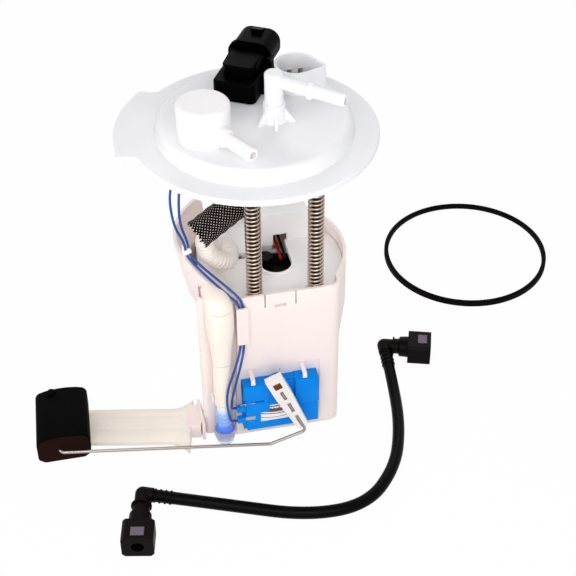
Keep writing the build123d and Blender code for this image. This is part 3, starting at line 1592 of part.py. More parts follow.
# The pump's leads behind the block, from the deck up to the harness plug
harness_leads = (
    ("harness_lead_red", pump_x + 5.5, 0),
    ("harness_lead_black", pump_x + 8.5, 3),
)
for lead_name, lead_x, plug_shift in harness_leads:
    with BuildPart() as harness_lead:
        with BuildLine() as lead_path:
            FilletPolyline(
                (lead_x, lead_back_y, deck_z + 0.2),
                (lead_x, lead_back_y, deck_z + 44),
                (socket_x + plug_shift, socket_y, harness_low_z - 14),
                (socket_x + plug_shift, socket_y, harness_low_z),
                radius=8,
            )
        with BuildSketch(Plane(origin=lead_path.line @ 0, z_dir=lead_path.line % 0)):
            Circle(wire_r)
        sweep()
    save(harness_lead, lead_name)

# ================================================================ fuel hose between flange and filter
hose_inner_r = tail_r + 0.05
hose_route = (
    (outlet_x, outlet_y, spring_top_z + 2),
    (outlet_x, outlet_y, -18),
    (-12, -15, -36),
    (-41, -21.5, -53),
    (-35, -9, -76),
    (filter_x, filter_y, -80),
    (filter_x, filter_y, deck_z + 1),
)
with BuildPart() as fuel_hose:
    with BuildLine() as hose_path:
        FilletPolyline(*hose_route, radius=6)
    with BuildSketch(Plane(origin=hose_path.line @ 0, z_dir=hose_path.line % 0)):
        Circle(hose_outer_r)
        Circle(hose_inner_r, mode=Mode.SUBTRACT)
    sweep()
save(fuel_hose, "fuel_hose")

sleeve_r = 9.4
sleeve_wall = sleeve_r - hose_outer_r - clear
sleeve_bend = 1.8 * sleeve_r
with BuildPart() as mesh_sleeve:
    with BuildLine() as sleeve_path:
        FilletPolyline((5.5, -8.4, -22), (-12, -15, -36), (-35.6, -20.3, -49.8), radius=sleeve_bend)
    with BuildSketch(Plane(origin=sleeve_path.line @ 0, z_dir=sleeve_path.line % 0)):
        Circle(sleeve_r)
        Circle(sleeve_r - sleeve_wall, mode=Mode.SUBTRACT)
    sweep()
save(mesh_sleeve, "mesh_sleeve")

# ================================================================ ring seal
seal_inner_r = spigot_r + 0.5
with BuildPart() as tank_seal:
    with BuildSketch(side_plane((seal_x, seal_y, base_z), 0)):
        with BuildLine():
            Polyline(
                (seal_inner_r, 0.8),
                (seal_inner_r + 0.8, 0),
                (seal_inner_r + seal_section, 0),
                (seal_inner_r + seal_section, seal_height - 1),
                (seal_inner_r + seal_section / 2, seal_height),
                (seal_inner_r, seal_height - 1),
                close=True,
            )
        make_face()
    revolve(axis=Axis((seal_x, seal_y, 0), (0, 0, 1)))
save(tank_seal, "tank_seal")

# ================================================================ jumper hose
hose_points = [
    Vector(90.4, 2, joint_z),
    Vector(87.5, -32, hose_lie_z),
    Vector(81, -68, hose_lie_z),
    Vector(68.5, -101, hose_lie_z),
    Vector(43, -128, hose_lie_z),
    Vector(4, -128.7, hose_lie_z),
    Vector(-42, -110, hose_lie_z),
    Vector(-88.5, -95, joint_z),
]
bend_radii = []
for before, corner, after in zip(hose_points, hose_points[1:], hose_points[2:]):
    half_turn = radians((corner - before).get_angle(after - corner)) / 2
    shorter_run = min((corner - before).length, (after - corner).length)
    bend_radii.append(0.45 * shorter_run / tan(half_turn))
print("jumper hose bend radii, mm:", [round(r) for r in bend_radii])
with BuildPart() as jumper_hose:
    with BuildLine() as hose_path:
        FilletPolyline(*hose_points, radius=bend_radii)
    with BuildSketch(Plane(origin=hose_path.line @ 0, z_dir=hose_path.line % 0)):
        Circle(hose_r)
        Circle(hose_bore_r, mode=Mode.SUBTRACT)
    sweep()
save(jumper_hose, "jumper_hose")
hose_length = sum(run.length for run in hose_path.edges())
print("jumper hose length, mm:", round(hose_length, 1))
print("its volume over its section:", round(jumper_hose.part.volume / pi / (hose_r**2 - hose_bore_r**2), 1))

pocket_floor = jumper_bore_r + 1
ends = (
    ("upper", hose_points[0], hose_points[0] - hose_points[1], -18.0, 17.0),
    ("lower", hose_points[-1], hose_points[-1] - hose_points[-2], -101.8, 27.0),
)
for end_name, hose_end, along, turn, reach in ends:
    along = along.normalized()
    elbow = hose_end + along * 7
    away = heading(turn)
    socket_root = elbow + away * reach
    with BuildPart() as connector:
        # Tail pushed into the hose, elbow and ribbed neck
        with BuildSketch(Plane(origin=hose_end - along * 12, z_dir=along)):
            Circle(hose_bore_r)
        extrude(amount=19)
        with BuildSketch(Plane(origin=hose_end + along * 0.2, z_dir=along)):
            Circle(hose_r + 0.8)
        extrude(amount=6.8)
        with Locations(elbow):
            Sphere(hose_r + 0.8)
        with BuildSketch(side_plane(elbow, turn)):
            with BuildLine():
                Polyline(
                    (0, 0),
                    (0, hose_r + 0.8),
                    (reach * 0.35, hose_r + 0.8),
                    (reach * 0.35, hose_r + 2.6),
                    (reach * 0.35 + 1.2, hose_r + 2.6),
                    (reach * 0.35 + 1.2, hose_r + 1.4),
                    (reach * 0.6, hose_r + 1.4),
                    (reach * 0.65, hose_r + 3),
                    (reach, hose_r + 3.4),
                    (reach, 0),
                    close=True,
                )
            make_face()
        revolve(axis=Axis(elbow, away))
        # Square head
        with BuildSketch(Plane(origin=socket_root, x_dir=heading(turn - 90), z_dir=away)) as head:
            Rectangle(socket_width, socket_high)
            chamfer(head.vertices(), 2)
        extrude(amount=socket_deep)
        # Fuel passage, bore for the mating pipe and pocket for the release button
        with BuildSketch(Plane(origin=hose_end - along * 12, z_dir=along)):
            Circle(hose_bore_r - 1)
        extrude(amount=19, mode=Mode.SUBTRACT)
        with BuildSketch(Plane(origin=elbow, z_dir=away)):
            Circle(hose_bore_r - 1)
        extrude(amount=reach, mode=Mode.SUBTRACT)
        with BuildSketch(Plane(origin=socket_root, z_dir=away)):
            Circle(jumper_bore_r)
        extrude(amount=socket_deep, mode=Mode.SUBTRACT)
        with BuildSketch(Plane(origin=socket_root + away * 2, z_dir=away)):
            Circle(jumper_bore_r + 1.4)
        extrude(amount=2, mode=Mode.SUBTRACT)
        button_at = socket_root + away * (socket_deep * 0.62)
        pocket_plane = Plane(origin=button_at + Vector(0, 0, pocket_floor), x_dir=away, z_dir=(0, 0, 1))
        with BuildSketch(pocket_plane):
            Rectangle(button_length, button_width)
        extrude(amount=socket_high, mode=Mode.SUBTRACT)
    save(connector, f"connector_{end_name}")

    with BuildPart() as connector_seal:
        with BuildSketch(Plane(origin=socket_root + away * 2, z_dir=away)):
            Circle(jumper_bore_r + 1.4)
            Circle(jumper_bore_r, mode=Mode.SUBTRACT)
        extrude(amount=2)
    save(connector_seal, f"connector_seal_{end_name}")

    with BuildPart() as release_button:
        with BuildSketch(pocket_plane.offset(button_travel + clear)):
            Rectangle(button_length - 2 * clear, button_width - 2 * clear)
        extrude(amount=socket_high / 2 - pocket_floor - button_travel - clear + 0.6)
        chamfer(release_button.edges().group_by(Axis.Z)[-1], 0.4)
    save(release_button, f"release_button_{end_name}")
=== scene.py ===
# %% [markdown]
# # A car's fuel pump module, with its ring seal and jumper hose
#
# The module hangs in a fuel tank. Its round white flange closes the hole in the tank's top, and below it a
# reservoir holds the pump, pressed to the tank's floor by two springs. A float on a wire arm turns a small
# level sender on its front. Every solid is already a precise mesh, so the lesson dresses them: it makes the
# camera, the light and the materials, and it models by hand what a plain solid cannot show, such as coil
# springs, braid, fabric and wires.

# %% Load the solids
import math

import bmesh
import bpy
from mathutils import Matrix, Vector


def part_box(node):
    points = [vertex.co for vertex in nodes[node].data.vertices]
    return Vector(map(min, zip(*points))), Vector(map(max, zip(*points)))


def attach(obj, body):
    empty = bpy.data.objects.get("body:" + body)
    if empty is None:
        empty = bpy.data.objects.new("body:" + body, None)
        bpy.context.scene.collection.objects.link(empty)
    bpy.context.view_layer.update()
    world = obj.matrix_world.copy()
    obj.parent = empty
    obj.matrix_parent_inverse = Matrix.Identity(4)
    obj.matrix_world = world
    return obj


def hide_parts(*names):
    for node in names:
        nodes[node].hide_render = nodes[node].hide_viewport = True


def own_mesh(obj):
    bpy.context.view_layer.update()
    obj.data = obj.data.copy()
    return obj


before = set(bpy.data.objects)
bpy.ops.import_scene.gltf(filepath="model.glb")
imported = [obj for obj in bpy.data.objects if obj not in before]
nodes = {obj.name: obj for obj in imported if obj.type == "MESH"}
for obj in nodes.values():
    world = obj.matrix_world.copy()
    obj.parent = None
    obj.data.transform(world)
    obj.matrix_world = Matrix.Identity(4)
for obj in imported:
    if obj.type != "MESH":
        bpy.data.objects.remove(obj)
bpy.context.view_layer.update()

MM = 0.001

# %% [markdown]
# ## Helpers for colours, shader nodes and pieces
#
# Colours are written as the hex values that an eye would pick on a screen. Blender's shaders want linear
# light, so one function turns them. A second function adds any shader node, sets its options and links its
# inputs. A third turns a bmesh into a piece that rides on one body of the module and can stand for a plain
# solid.

# %% Colour, node and piece helpers


def hex_colour(code):
    channels = [int(code[i : i + 2], 16) / 255 for i in (1, 3, 5)]
    linear = [c / 12.92 if c <= 0.04045 else ((c + 0.055) / 1.055) ** 2.4 for c in channels]
    return (*linear, 1.0)


def add_node(tree, kind, inputs=None, **options):
    """Adds a shader node; an input is a plain value or another node's output socket."""
    node = tree.nodes.new(kind)
    for option, value in options.items():
        setattr(node, option, value)
    for socket, value in (inputs or {}).items():
        if isinstance(value, bpy.types.NodeSocket):
            tree.links.new(value, node.inputs[socket])
        else:
            node.inputs[socket].default_value = value
    return node


def new_material(name):
    material = bpy.data.materials.new(name)
    material.use_nodes = True
    material.node_tree.nodes.clear()
    return material, material.node_tree


def close_material(tree, surface):
    output = tree.nodes.new("ShaderNodeOutputMaterial")
    tree.links.new(surface, output.inputs["Surface"])


def paint(object_, material):
    object_.data.materials.clear()
    object_.data.materials.append(material)


def make_piece(name, shell, body, material, *stands_for):
    """Ends a bmesh: outward faces, one object at the origin, on its body, instead of the named solids."""
    bmesh.ops.recalc_face_normals(shell, faces=shell.faces[:])
    mesh = bpy.data.meshes.new(name)
    shell.to_mesh(mesh)
    shell.free()
    for face in mesh.polygons:
        face.use_smooth = True
    piece = bpy.data.objects.new(name, mesh)
    bpy.context.scene.collection.objects.link(piece)
    paint(piece, material)
    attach(piece, body)
    if stands_for:
        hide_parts(*stands_for)
    print(f"{name}: {len(mesh.polygons)} faces")
    return piece


# %% [markdown]
# ## Camera
#
# A product photographer stands back and looks down at about forty degrees with a long lens, so that the
# flange shows its top and the reservoir its front. The camera's axes are built from its yaw, pitch and
# roll, which keeps the numbers readable.

# %% Camera
CAMERA_PLACE = Vector((-122.85, -670.4, 444.8)) * MM
CAMERA_YAW = math.radians(11.99)
CAMERA_PITCH = math.radians(39.70)
CAMERA_ROLL = math.radians(-0.39)
LENS = 83.875
SENSOR_WIDTH = 36.0
NEAREST_SEEN = 0.05
FARTHEST_SEEN = 20.0

forward = Vector(
    (
        math.sin(CAMERA_YAW) * math.cos(CAMERA_PITCH),
        math.cos(CAMERA_YAW) * math.cos(CAMERA_PITCH),
        -math.sin(CAMERA_PITCH),
    )
)
level_right = Vector((math.cos(CAMERA_YAW), -math.sin(CAMERA_YAW), 0))
right = level_right * math.cos(CAMERA_ROLL) + level_right.cross(forward) * math.sin(CAMERA_ROLL)
above = right.cross(forward)
camera_data = bpy.data.cameras.new("studio_camera")
camera_data.sensor_width = SENSOR_WIDTH
camera_data.lens = LENS
camera_data.clip_start = NEAREST_SEEN
camera_data.clip_end = FARTHEST_SEEN
camera = bpy.data.objects.new("studio_camera", camera_data)
bpy.context.scene.collection.objects.link(camera)
axes = Matrix((right, above, -forward)).transposed().to_4x4()
camera.matrix_world = Matrix.Translation(CAMERA_PLACE) @ axes
bpy.context.scene.camera = camera
bpy.context.scene.view_settings.view_transform = "Standard"
print("camera looks along", tuple(round(c, 3) for c in forward))

# %% [markdown]
# ## Floor
#
# The set is a white sweep of paper. For the eye, and for what metal and glass mirror, it is pure white,
# while the light that it throws back on the object stays at a plain level. The Light Path node tells these
# rays apart, so one material can be nearly all white glow for the first kind and a matt paper that takes
# the object's shadow for the rest.

# %% Floor
FLOOR_GAP = 0.15 * MM
FLOOR_RADIUS = 4.0
FLOOR_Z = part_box("reservoir_cup")[0].z - FLOOR_GAP
floor_mesh = bmesh.new()
bmesh.ops.create_circle(floor_mesh, cap_ends=True, segments=96, radius=FLOOR_RADIUS)
bmesh.ops.translate(floor_mesh, verts=floor_mesh.verts[:], vec=(0, 0, FLOOR_Z))
floor_data = bpy.data.meshes.new("floor")
floor_mesh.to_mesh(floor_data)
floor_mesh.free()
floor = bpy.data.objects.new("floor", floor_data)
bpy.context.scene.collection.objects.link(floor)

FLOOR_WHITE_SHARE = 0.97


def seen_or_mirrored(tree):
    """1 for rays from the camera, from a mirror or through glass, and 0 for the light on the object."""
    rays = add_node(tree, "ShaderNodeLightPath")
    mirrored = add_node(
        tree,
        "ShaderNodeMath",
        {0: rays.outputs["Is Glossy Ray"], 1: rays.outputs["Is Transmission Ray"]},
        operation="MAXIMUM",
    )
    seen = add_node(
        tree,
        "ShaderNodeMath",
        {0: rays.outputs["Is Camera Ray"], 1: mirrored.outputs[0]},
        operation="MAXIMUM",
    )
    return seen.outputs[0]


paper, tree = new_material("white_sweep_paper")
share = add_node(
    tree, "ShaderNodeMath", {0: seen_or_mirrored(tree), 1: FLOOR_WHITE_SHARE}, operation="MULTIPLY"
)
matt = add_node(tree, "ShaderNodeBsdfDiffuse", {"Color": hex_colour("#f4f4f6")})
white = add_node(tree, "ShaderNodeEmission", {"Color": (1, 1, 1, 1), "Strength": 1.0})
mixed = add_node(
    tree, "ShaderNodeMixShader", {0: share.outputs[0], 1: matt.outputs[0], 2: white.outputs[0]}
)
close_material(tree, mixed.outputs[0])
paint(floor, paper)
print("floor at", round(FLOOR_Z, 4))

# %% [markdown]
# ## Room
#
# The room has pale walls and a darker ceiling. The world's strength falls from the horizon to the zenith,
# so upright faces get a little more light than flat ones and white plastic keeps its shading. What the
# camera or a mirror sees of the room stays plain white.

# %% Room
HORIZON_LIGHT = 0.92
ZENITH_LIGHT = 0.42
world = bpy.data.worlds.new("studio")
world.use_nodes = True
bpy.context.scene.world = world
tree = world.node_tree
tree.nodes.clear()
heading = add_node(
    tree, "ShaderNodeSeparateXYZ", {0: add_node(tree, "ShaderNodeTexCoord").outputs["Generated"]}
)
glow = add_node(
    tree,
    "ShaderNodeMapRange",
    {"Value": heading.outputs["Z"], "To Min": HORIZON_LIGHT, "To Max": ZENITH_LIGHT},
)
strength = add_node(
    tree,
    "ShaderNodeMapRange",
    {"Value": seen_or_mirrored(tree), "To Min": glow.outputs["Result"], "To Max": 1.0},
)
room = add_node(tree, "ShaderNodeBackground", {"Color": (1, 1, 1, 1), "Strength": strength.outputs[0]})
add_node(tree, "ShaderNodeOutputWorld", {"Surface": room.outputs[0]})
print("room light:", HORIZON_LIGHT, "at the horizon,", ZENITH_LIGHT, "overhead")

# %% [markdown]
# ## Lamps
#
# Softboxes are rectangles of light, which Blender has as area lamps. A large one in front, one on the left
# and one behind shape the object, and a small one close to the near rim lifts the flange's edge and reaches
# in on the deck. Their shadows are soft, because each lamp is large for its distance.

# %% Lamps


def softbox(name, place, aim, width, height, power):
    lamp = bpy.data.lights.new(name, "AREA")
    lamp.shape = "RECTANGLE"
    lamp.size = width
    lamp.size_y = height
    lamp.energy = power
    holder = bpy.data.objects.new(name, lamp)
    holder.location = place
    holder.rotation_euler = (Vector(aim) - Vector(place)).to_track_quat("-Z", "Y").to_euler()
    bpy.context.scene.collection.objects.link(holder)
    print(f"{name}: {power} W")


# name, place, aim, width, height, power
softbox("front_softbox", (-0.5, -1.75, 0.4), (0, 0, -0.1), 1.6, 1.1, 4.6)
softbox("near_softbox", (-0.08, -0.46, 0.25), (0, 0, -0.05), 0.4, 0.25, 1.25)
softbox("left_softbox", (-1.6, -0.2, 0.5), (0, 0, -0.1), 0.9, 0.9, 5.0)
softbox("back_softbox", (0.5, 1.5, 1.1), (0, 0, -0.05), 1.2, 0.8, 5.0)

# %% [markdown]
# ## Moulded plastics
#
# Most of the module is acetal, a slightly translucent plastic that fuel does not harm. It comes out of a
# polished steel mould, so it is smooth, with a faint grain left by the steel, and light goes one to three
# millimetres into it. One recipe serves every moulded plastic: a colour that drifts between two tints over
# a few centimetres, a grain of under a millimetre, and a surface with a little light under it.

# %% Recipe for a moulded plastic
DRIFT_MM = 25.0
GRAIN_DEPTH = 0.1 * MM
SHEEN_SPREAD = 0.15
PLASTIC_IOR = 1.48
LIGHT_UNDER_SHARE = 0.35
LIGHT_UNDER_TINT = (1.0, 0.86, 0.8)
INK_DOT_RADIUS = 0.9 * MM


def moulded_plastic(
    name,
    tint,
    shade,
    rough=0.4,
    grain_mm=0.8,
    grain_share=0.4,
    under_mm=0.0,
    shine=0.5,
    clear=0.0,
    ink_dot=None,
):
    """tint and shade are the two colours; under_mm is how deep light goes in; clear lets light
    through; ink_dot is where an inspector dabbed a dot."""
    material, tree = new_material(name)
    place = add_node(tree, "ShaderNodeTexCoord").outputs["Object"]
    drift = add_node(
        tree,
        "ShaderNodeTexNoise",
        {"Vector": place, "Scale": 1 / (DRIFT_MM * MM), "Detail": 2.0, "Roughness": 0.45},
    )
    colour = add_node(
        tree,
        "ShaderNodeMix",
        {"Factor": drift.outputs["Fac"], 6: hex_colour(tint), 7: hex_colour(shade)},
        data_type="RGBA",
    )
    if ink_dot:
        off = add_node(
            tree, "ShaderNodeVectorMath", {0: place, 1: Vector(ink_dot) * MM}, operation="DISTANCE"
        )
        inside = add_node(
            tree, "ShaderNodeMath", {0: off.outputs["Value"], 1: INK_DOT_RADIUS}, operation="LESS_THAN"
        )
        colour = add_node(
            tree,
            "ShaderNodeMix",
            {"Factor": inside.outputs[0], 6: colour.outputs["Result"], 7: hex_colour("#2a3fae")},
            data_type="RGBA",
        )
    grain = add_node(
        tree, "ShaderNodeTexNoise", {"Vector": place, "Scale": 1 / (grain_mm * MM), "Detail": 3.0}
    )
    sheen_change = add_node(
        tree,
        "ShaderNodeMapRange",
        {
            "Value": grain.outputs["Fac"],
            "To Min": rough * (1 - SHEEN_SPREAD),
            "To Max": rough * (1 + SHEEN_SPREAD),
        },
    )
    relief = add_node(
        tree,
        "ShaderNodeBump",
        {"Height": grain.outputs["Fac"], "Strength": grain_share, "Distance": GRAIN_DEPTH},
    )
    surface = add_node(
        tree,
        "ShaderNodeBsdfPrincipled",
        {
            "Base Color": colour.outputs["Result"],
            "Roughness": sheen_change.outputs["Result"],
            "IOR": PLASTIC_IOR,
            "Specular IOR Level": shine,
            "Normal": relief.outputs["Normal"],
            "Transmission Weight": clear,
        },
    )
    if under_mm:
        surface.inputs["Subsurface Weight"].default_value = LIGHT_UNDER_SHARE
        surface.inputs["Subsurface Radius"].default_value = LIGHT_UNDER_TINT
        surface.inputs["Subsurface Scale"].default_value = under_mm * MM
    close_material(tree, surface.outputs[0])
    return material


print("plastic recipe ready")

# %% [markdown]
# ## Plastics of the module
#
# Acetal that isn't dyed looks milky: the flange is a cool white, the reservoir a warm one, and the carrier
# in it lies between. The fill tube is a creamier nylon. The dyed and filled plastics are the azure sender,
# the black sensor, connectors and hose, and the grey-violet buttons. Dark glossy plastic mirrors the white
# room and turns grey, so the black ones are given little shine.

# %% Moulded plastics of the module
flange_acetal = moulded_plastic("natural_acetal_flange", "#f1f1f3", "#eaeaec", rough=0.42, under_mm=1.6)
cup_acetal = moulded_plastic(
    "natural_acetal_reservoir", "#f8e9e5", "#f3e3de", rough=0.45, under_mm=3.0, ink_dot=(4.0, -46.0, -153.4)
)
carrier_acetal = moulded_plastic("natural_acetal_carrier", "#fdfaf9", "#faf5f3", rough=0.45, under_mm=3.0)
valve_acetal = moulded_plastic("natural_acetal_valve", "#f6f3f3", "#efedee", rough=0.4, under_mm=1.6)
bush_acetal = moulded_plastic("natural_acetal_bush", "#efe8e2", "#e6ddd6", rough=0.4, under_mm=1.0)
cream_nylon = moulded_plastic("cream_nylon_tube", "#f8ece3", "#f6e9db", rough=0.38, under_mm=1.8)
arm_acetal = moulded_plastic("milky_acetal_arm", "#f4eeea", "#e6dfdb", rough=0.34, under_mm=0.8)
clip_acetal = moulded_plastic("natural_acetal_clip", "#fbf8f8", "#f3efef", rough=0.42, under_mm=0.8)
azure_acetal = moulded_plastic("azure_acetal_sender", "#0090f2", "#0077d4", rough=0.42, shine=0.1)
sensor_pbt = moulded_plastic("black_pbt_pressure_sensor", "#010102", "#030304", rough=0.4, shine=0.02)
fitting_nylon = moulded_plastic("black_nylon_quick_connector", "#080405", "#0f0808", rough=0.45, shine=0.06)
hose_nylon = moulded_plastic(
    "black_nylon_hose", "#010101", "#020202", rough=0.32, shine=0.06, grain_share=0.15
)
button_nylon = moulded_plastic("grey_violet_nylon_button", "#6f6472", "#5e5563", rough=0.5, shine=0.3)
pump_black = moulded_plastic("black_acetal_pump_end", "#050405", "#090808", rough=0.34, shine=0.12)
nitrile = moulded_plastic("black_nitrile_rubber", "#040203", "#090505", rough=0.6, grain_mm=0.5, shine=0.04)
wire_navy = moulded_plastic("navy_wire_insulation", "#1a4a9c", "#143c84", rough=0.35, shine=0.5)
wire_red = moulded_plastic("red_wire_insulation", "#c01822", "#a8131c", rough=0.35, shine=0.4)
wire_black = moulded_plastic("black_wire_insulation", "#0a0a0a", "#121212", rough=0.35, shine=0.4)
collar_clear = moulded_plastic(
    "clear_polyamide_collar", "#eef0fb", "#e4e8fa", rough=0.12, shine=0.5, clear=0.75
)
filter_paper = moulded_plastic("pleated_filter_paper", "#d9c7a2", "#cbb78f", rough=0.9, shine=0.2)
print("plastics:", len(bpy.data.materials))

# %% [markdown]
# ## Metals
#
# The guide rods are ground steel, the springs are drawn stainless wire, and the pump's can is zinc plated.
# Drawing and grinding leave fine lines, which only roughen the metal's mirror, so one noise drives its
# tint, its roughness and a very shallow relief. The rods stretch that noise along their length. Metals take
# the default index of refraction.

# %% Recipe for a metal
LINE_MM = 0.4
LINE_DEPTH = 0.02 * MM
LINE_SHARE = 0.15
POLISH_SPREAD = 0.3


def worked_metal(name, tint, shade, rough, stretch=(1, 1, 1)):
    material, tree = new_material(name)
    place = add_node(tree, "ShaderNodeTexCoord").outputs["Object"]
    along = add_node(tree, "ShaderNodeMapping", {"Vector": place, "Scale": stretch})
    lines = add_node(
        tree, "ShaderNodeTexNoise", {"Vector": along.outputs[0], "Scale": 1 / (LINE_MM * MM), "Detail": 4.0}
    )
    colour = add_node(
        tree,
        "ShaderNodeMix",
        {"Factor": lines.outputs["Fac"], 6: hex_colour(tint), 7: hex_colour(shade)},
        data_type="RGBA",
    )
    polish = add_node(
        tree,
        "ShaderNodeMapRange",
        {
            "Value": lines.outputs["Fac"],
            "To Min": rough * (1 - POLISH_SPREAD),
            "To Max": rough * (1 + POLISH_SPREAD),
        },
    )
    relief = add_node(
        tree,
        "ShaderNodeBump",
        {"Height": lines.outputs["Fac"], "Strength": LINE_SHARE, "Distance": LINE_DEPTH},
    )
    surface = add_node(
        tree,
        "ShaderNodeBsdfPrincipled",
        {
            "Base Color": colour.outputs["Result"],
            "Metallic": 1.0,
            "Roughness": polish.outputs["Result"],
            "Normal": relief.outputs["Normal"],
        },
    )
    close_material(tree, surface.outputs[0])
    return material


print("metal recipe ready")

# %% [markdown]
# ## Metals of the module
#
# Stainless spring wire is warm and bright, and so is the float's arm. The rods stand in the springs' shade,
# so their tint is painted dark as painted shade. Terminals and blades are tinned, so they are pale, and the
# contact is brown bronze.

# %% Metals of the module
spring_steel = worked_metal("drawn_stainless_spring_wire", "#dccbbd", "#ab998b", 0.26)
# The rods' dark tints are painted shade for the springs' shadow on them, not the steel's own colour.
rod_steel_painted_shade = worked_metal("ground_steel_rod_painted_shade", "#4a423c", "#332d29", 0.34, stretch=(1, 1, 0.05))
arm_steel = worked_metal("bright_drawn_steel_wire", "#b9afa8", "#8d8580", 0.3)
can_steel = worked_metal("zinc_plated_pump_can", "#b9b7b2", "#a3a19c", 0.32)
terminal_tin = worked_metal("tinned_brass_terminal", "#c9bfae", "#b5aa98", 0.3)
contact_bronze = worked_metal("phosphor_bronze_contact", "#8a4f22", "#6d3b18", 0.42)
blade_tin = worked_metal("tinned_copper_blade", "#c8c3bb", "#aeaaa2", 0.28)
print("plastics and metals:", len(bpy.data.materials))

# %% [markdown]
# ## Paint the solids
#
# Each solid is one moulding, pressing or wire, so it takes one material. A list of materials, each with the
# pieces it covers, is easy to read and to change. Some of these solids are later replaced by a finer piece
# with the same material.

# %% Paint the solids
FINISHES = (
    (flange_acetal, ("flange_plate", "harness_plug")),
    (valve_acetal, ("rollover_valve",)),
    (
        cup_acetal,
        (
            "reservoir_cup",
            "suction_duct",
            "jet_pump",
            "strainer_neck",
            "foot_valve",
            "outlet_pipe",
            "pressure_regulator",
        ),
    ),
    (carrier_acetal, ("pump_carrier", "filter_housing")),
    (bush_acetal, ("guide_bush_left", "guide_bush_right", "rod_end_clips")),
    (cream_nylon, ("fill_tube",)),
    (arm_acetal, ("arm_holder",)),
    (clip_acetal, ("wire_clip", "float_clip")),
    (azure_acetal, ("sender_housing",)),
    (sensor_pbt, ("pressure_sensor",)),
    (fitting_nylon, ("connector_upper", "connector_lower")),
    (button_nylon, ("release_button_upper", "release_button_lower")),
    (pump_black, ("pump_cap", "pump_inlet", "rollover_float")),
    (
        nitrile,
        ("tank_seal", "sensor_grommet", "pump_isolator", "connector_seal_upper", "connector_seal_lower"),
    ),
    (rod_steel_painted_shade, ("guide_rod_left", "guide_rod_right")),
    (arm_steel, ("float_wire",)),
    (can_steel, ("pump_body",)),
    (terminal_tin, ("sender_terminals", "sensor_pins")),
    (blade_tin, ("socket_blades",)),
    (contact_bronze, ("contact_bridge",)),
    (wire_red, ("pump_lead_red",)),
    (wire_black, ("pump_lead_black",)),
    (collar_clear, ("plug_collar",)),
    (filter_paper, ("filter_element",)),
)
for material, names in FINISHES:
    for name in names:
        paint(nodes[name], material)
print("finishes:", len(FINISHES))

# %% [markdown]
# ## Level sender's card
#
# The sender works like a dimmer: two wipers slide over resistor ink on a white ceramic card. The ink is
# printed in arcs round the arm's pivot, crossed by fine conductor lines. So the pattern needs two values at
# each point, its distance from the pivot and its angle about it, and with them it lines up with the wipers
# by itself.

# %% Distance and angle about the pivot
PIVOT = Vector((0.2, 0.0, -154.5)) * MM
card_print, tree = new_material("printed_ceramic_card")
place = add_node(tree, "ShaderNodeTexCoord").outputs["Object"]
from_pivot = add_node(tree, "ShaderNodeMapping", {"Vector": place, "Location": -PIVOT, "Scale": (1, 0, 1)})
radius = add_node(tree, "ShaderNodeVectorMath", {0: from_pivot.outputs[0]}, operation="LENGTH")
parts = add_node(tree, "ShaderNodeSeparateXYZ", {0: from_pivot.outputs[0]})
turn = add_node(tree, "ShaderNodeMath", {0: parts.outputs["X"], 1: parts.outputs["Z"]}, operation="ARCTAN2")
print("pivot, mm:", tuple(round(c / MM, 1) for c in PIVOT))

# %% [markdown]
# ## Printed ink
#
# The conductor lines are short ticks at even angles, kept to a narrow ring. Each arc is a band of
# distances. Every pattern is 1 where it has ink and 0 elsewhere, so taking the larger of two values prints
# one over the other.

# %% Printed ink
TICK_TURN = math.radians(2.2)
TICK_INK_SHARE = 0.35
TICK_INNER_MM = 25.6
TICK_OUTER_MM = 26.8
ticks = add_node(tree, "ShaderNodeMath", {0: turn.outputs[0], 1: TICK_TURN}, operation="PINGPONG")
tick = add_node(
    tree, "ShaderNodeMath", {0: ticks.outputs[0], 1: TICK_TURN * TICK_INK_SHARE}, operation="LESS_THAN"
)
tick_zone = add_node(
    tree, "ShaderNodeMath", {0: radius.outputs["Value"], 1: TICK_INNER_MM * MM}, operation="GREATER_THAN"
)
tick_end = add_node(
    tree, "ShaderNodeMath", {0: radius.outputs["Value"], 1: TICK_OUTER_MM * MM}, operation="LESS_THAN"
)
tick_band = add_node(
    tree, "ShaderNodeMath", {0: tick_zone.outputs[0], 1: tick_end.outputs[0]}, operation="MULTIPLY"
)
printed = add_node(
    tree, "ShaderNodeMath", {0: tick.outputs[0], 1: tick_band.outputs[0]}, operation="MULTIPLY"
)

# distance of the arc's middle from the pivot, width
ARC_TRACKS_MM = ((24.6, 1.0), (28.2, 3.2), (31.3, 0.8), (34.6, 0.4))
for middle, width in ARC_TRACKS_MM:
    off = add_node(
        tree, "ShaderNodeMath", {0: radius.outputs["Value"], 1: middle * MM}, operation="SUBTRACT"
    )
    size = add_node(tree, "ShaderNodeMath", {0: off.outputs[0]}, operation="ABSOLUTE")
    band = add_node(tree, "ShaderNodeMath", {0: size.outputs[0], 1: width / 2 * MM}, operation="LESS_THAN")
    printed = add_node(
        tree, "ShaderNodeMath", {0: printed.outputs[0], 1: band.outputs[0]}, operation="MAXIMUM"
    )
print("arcs printed:", len(ARC_TRACKS_MM))

# %% [markdown]
# ## Card surface
#
# The card is white glazed ceramic and the ink is a brown paste that is fired on. It is slightly raised and
# speckled, so the ink's own value drives both the colour and a shallow relief.

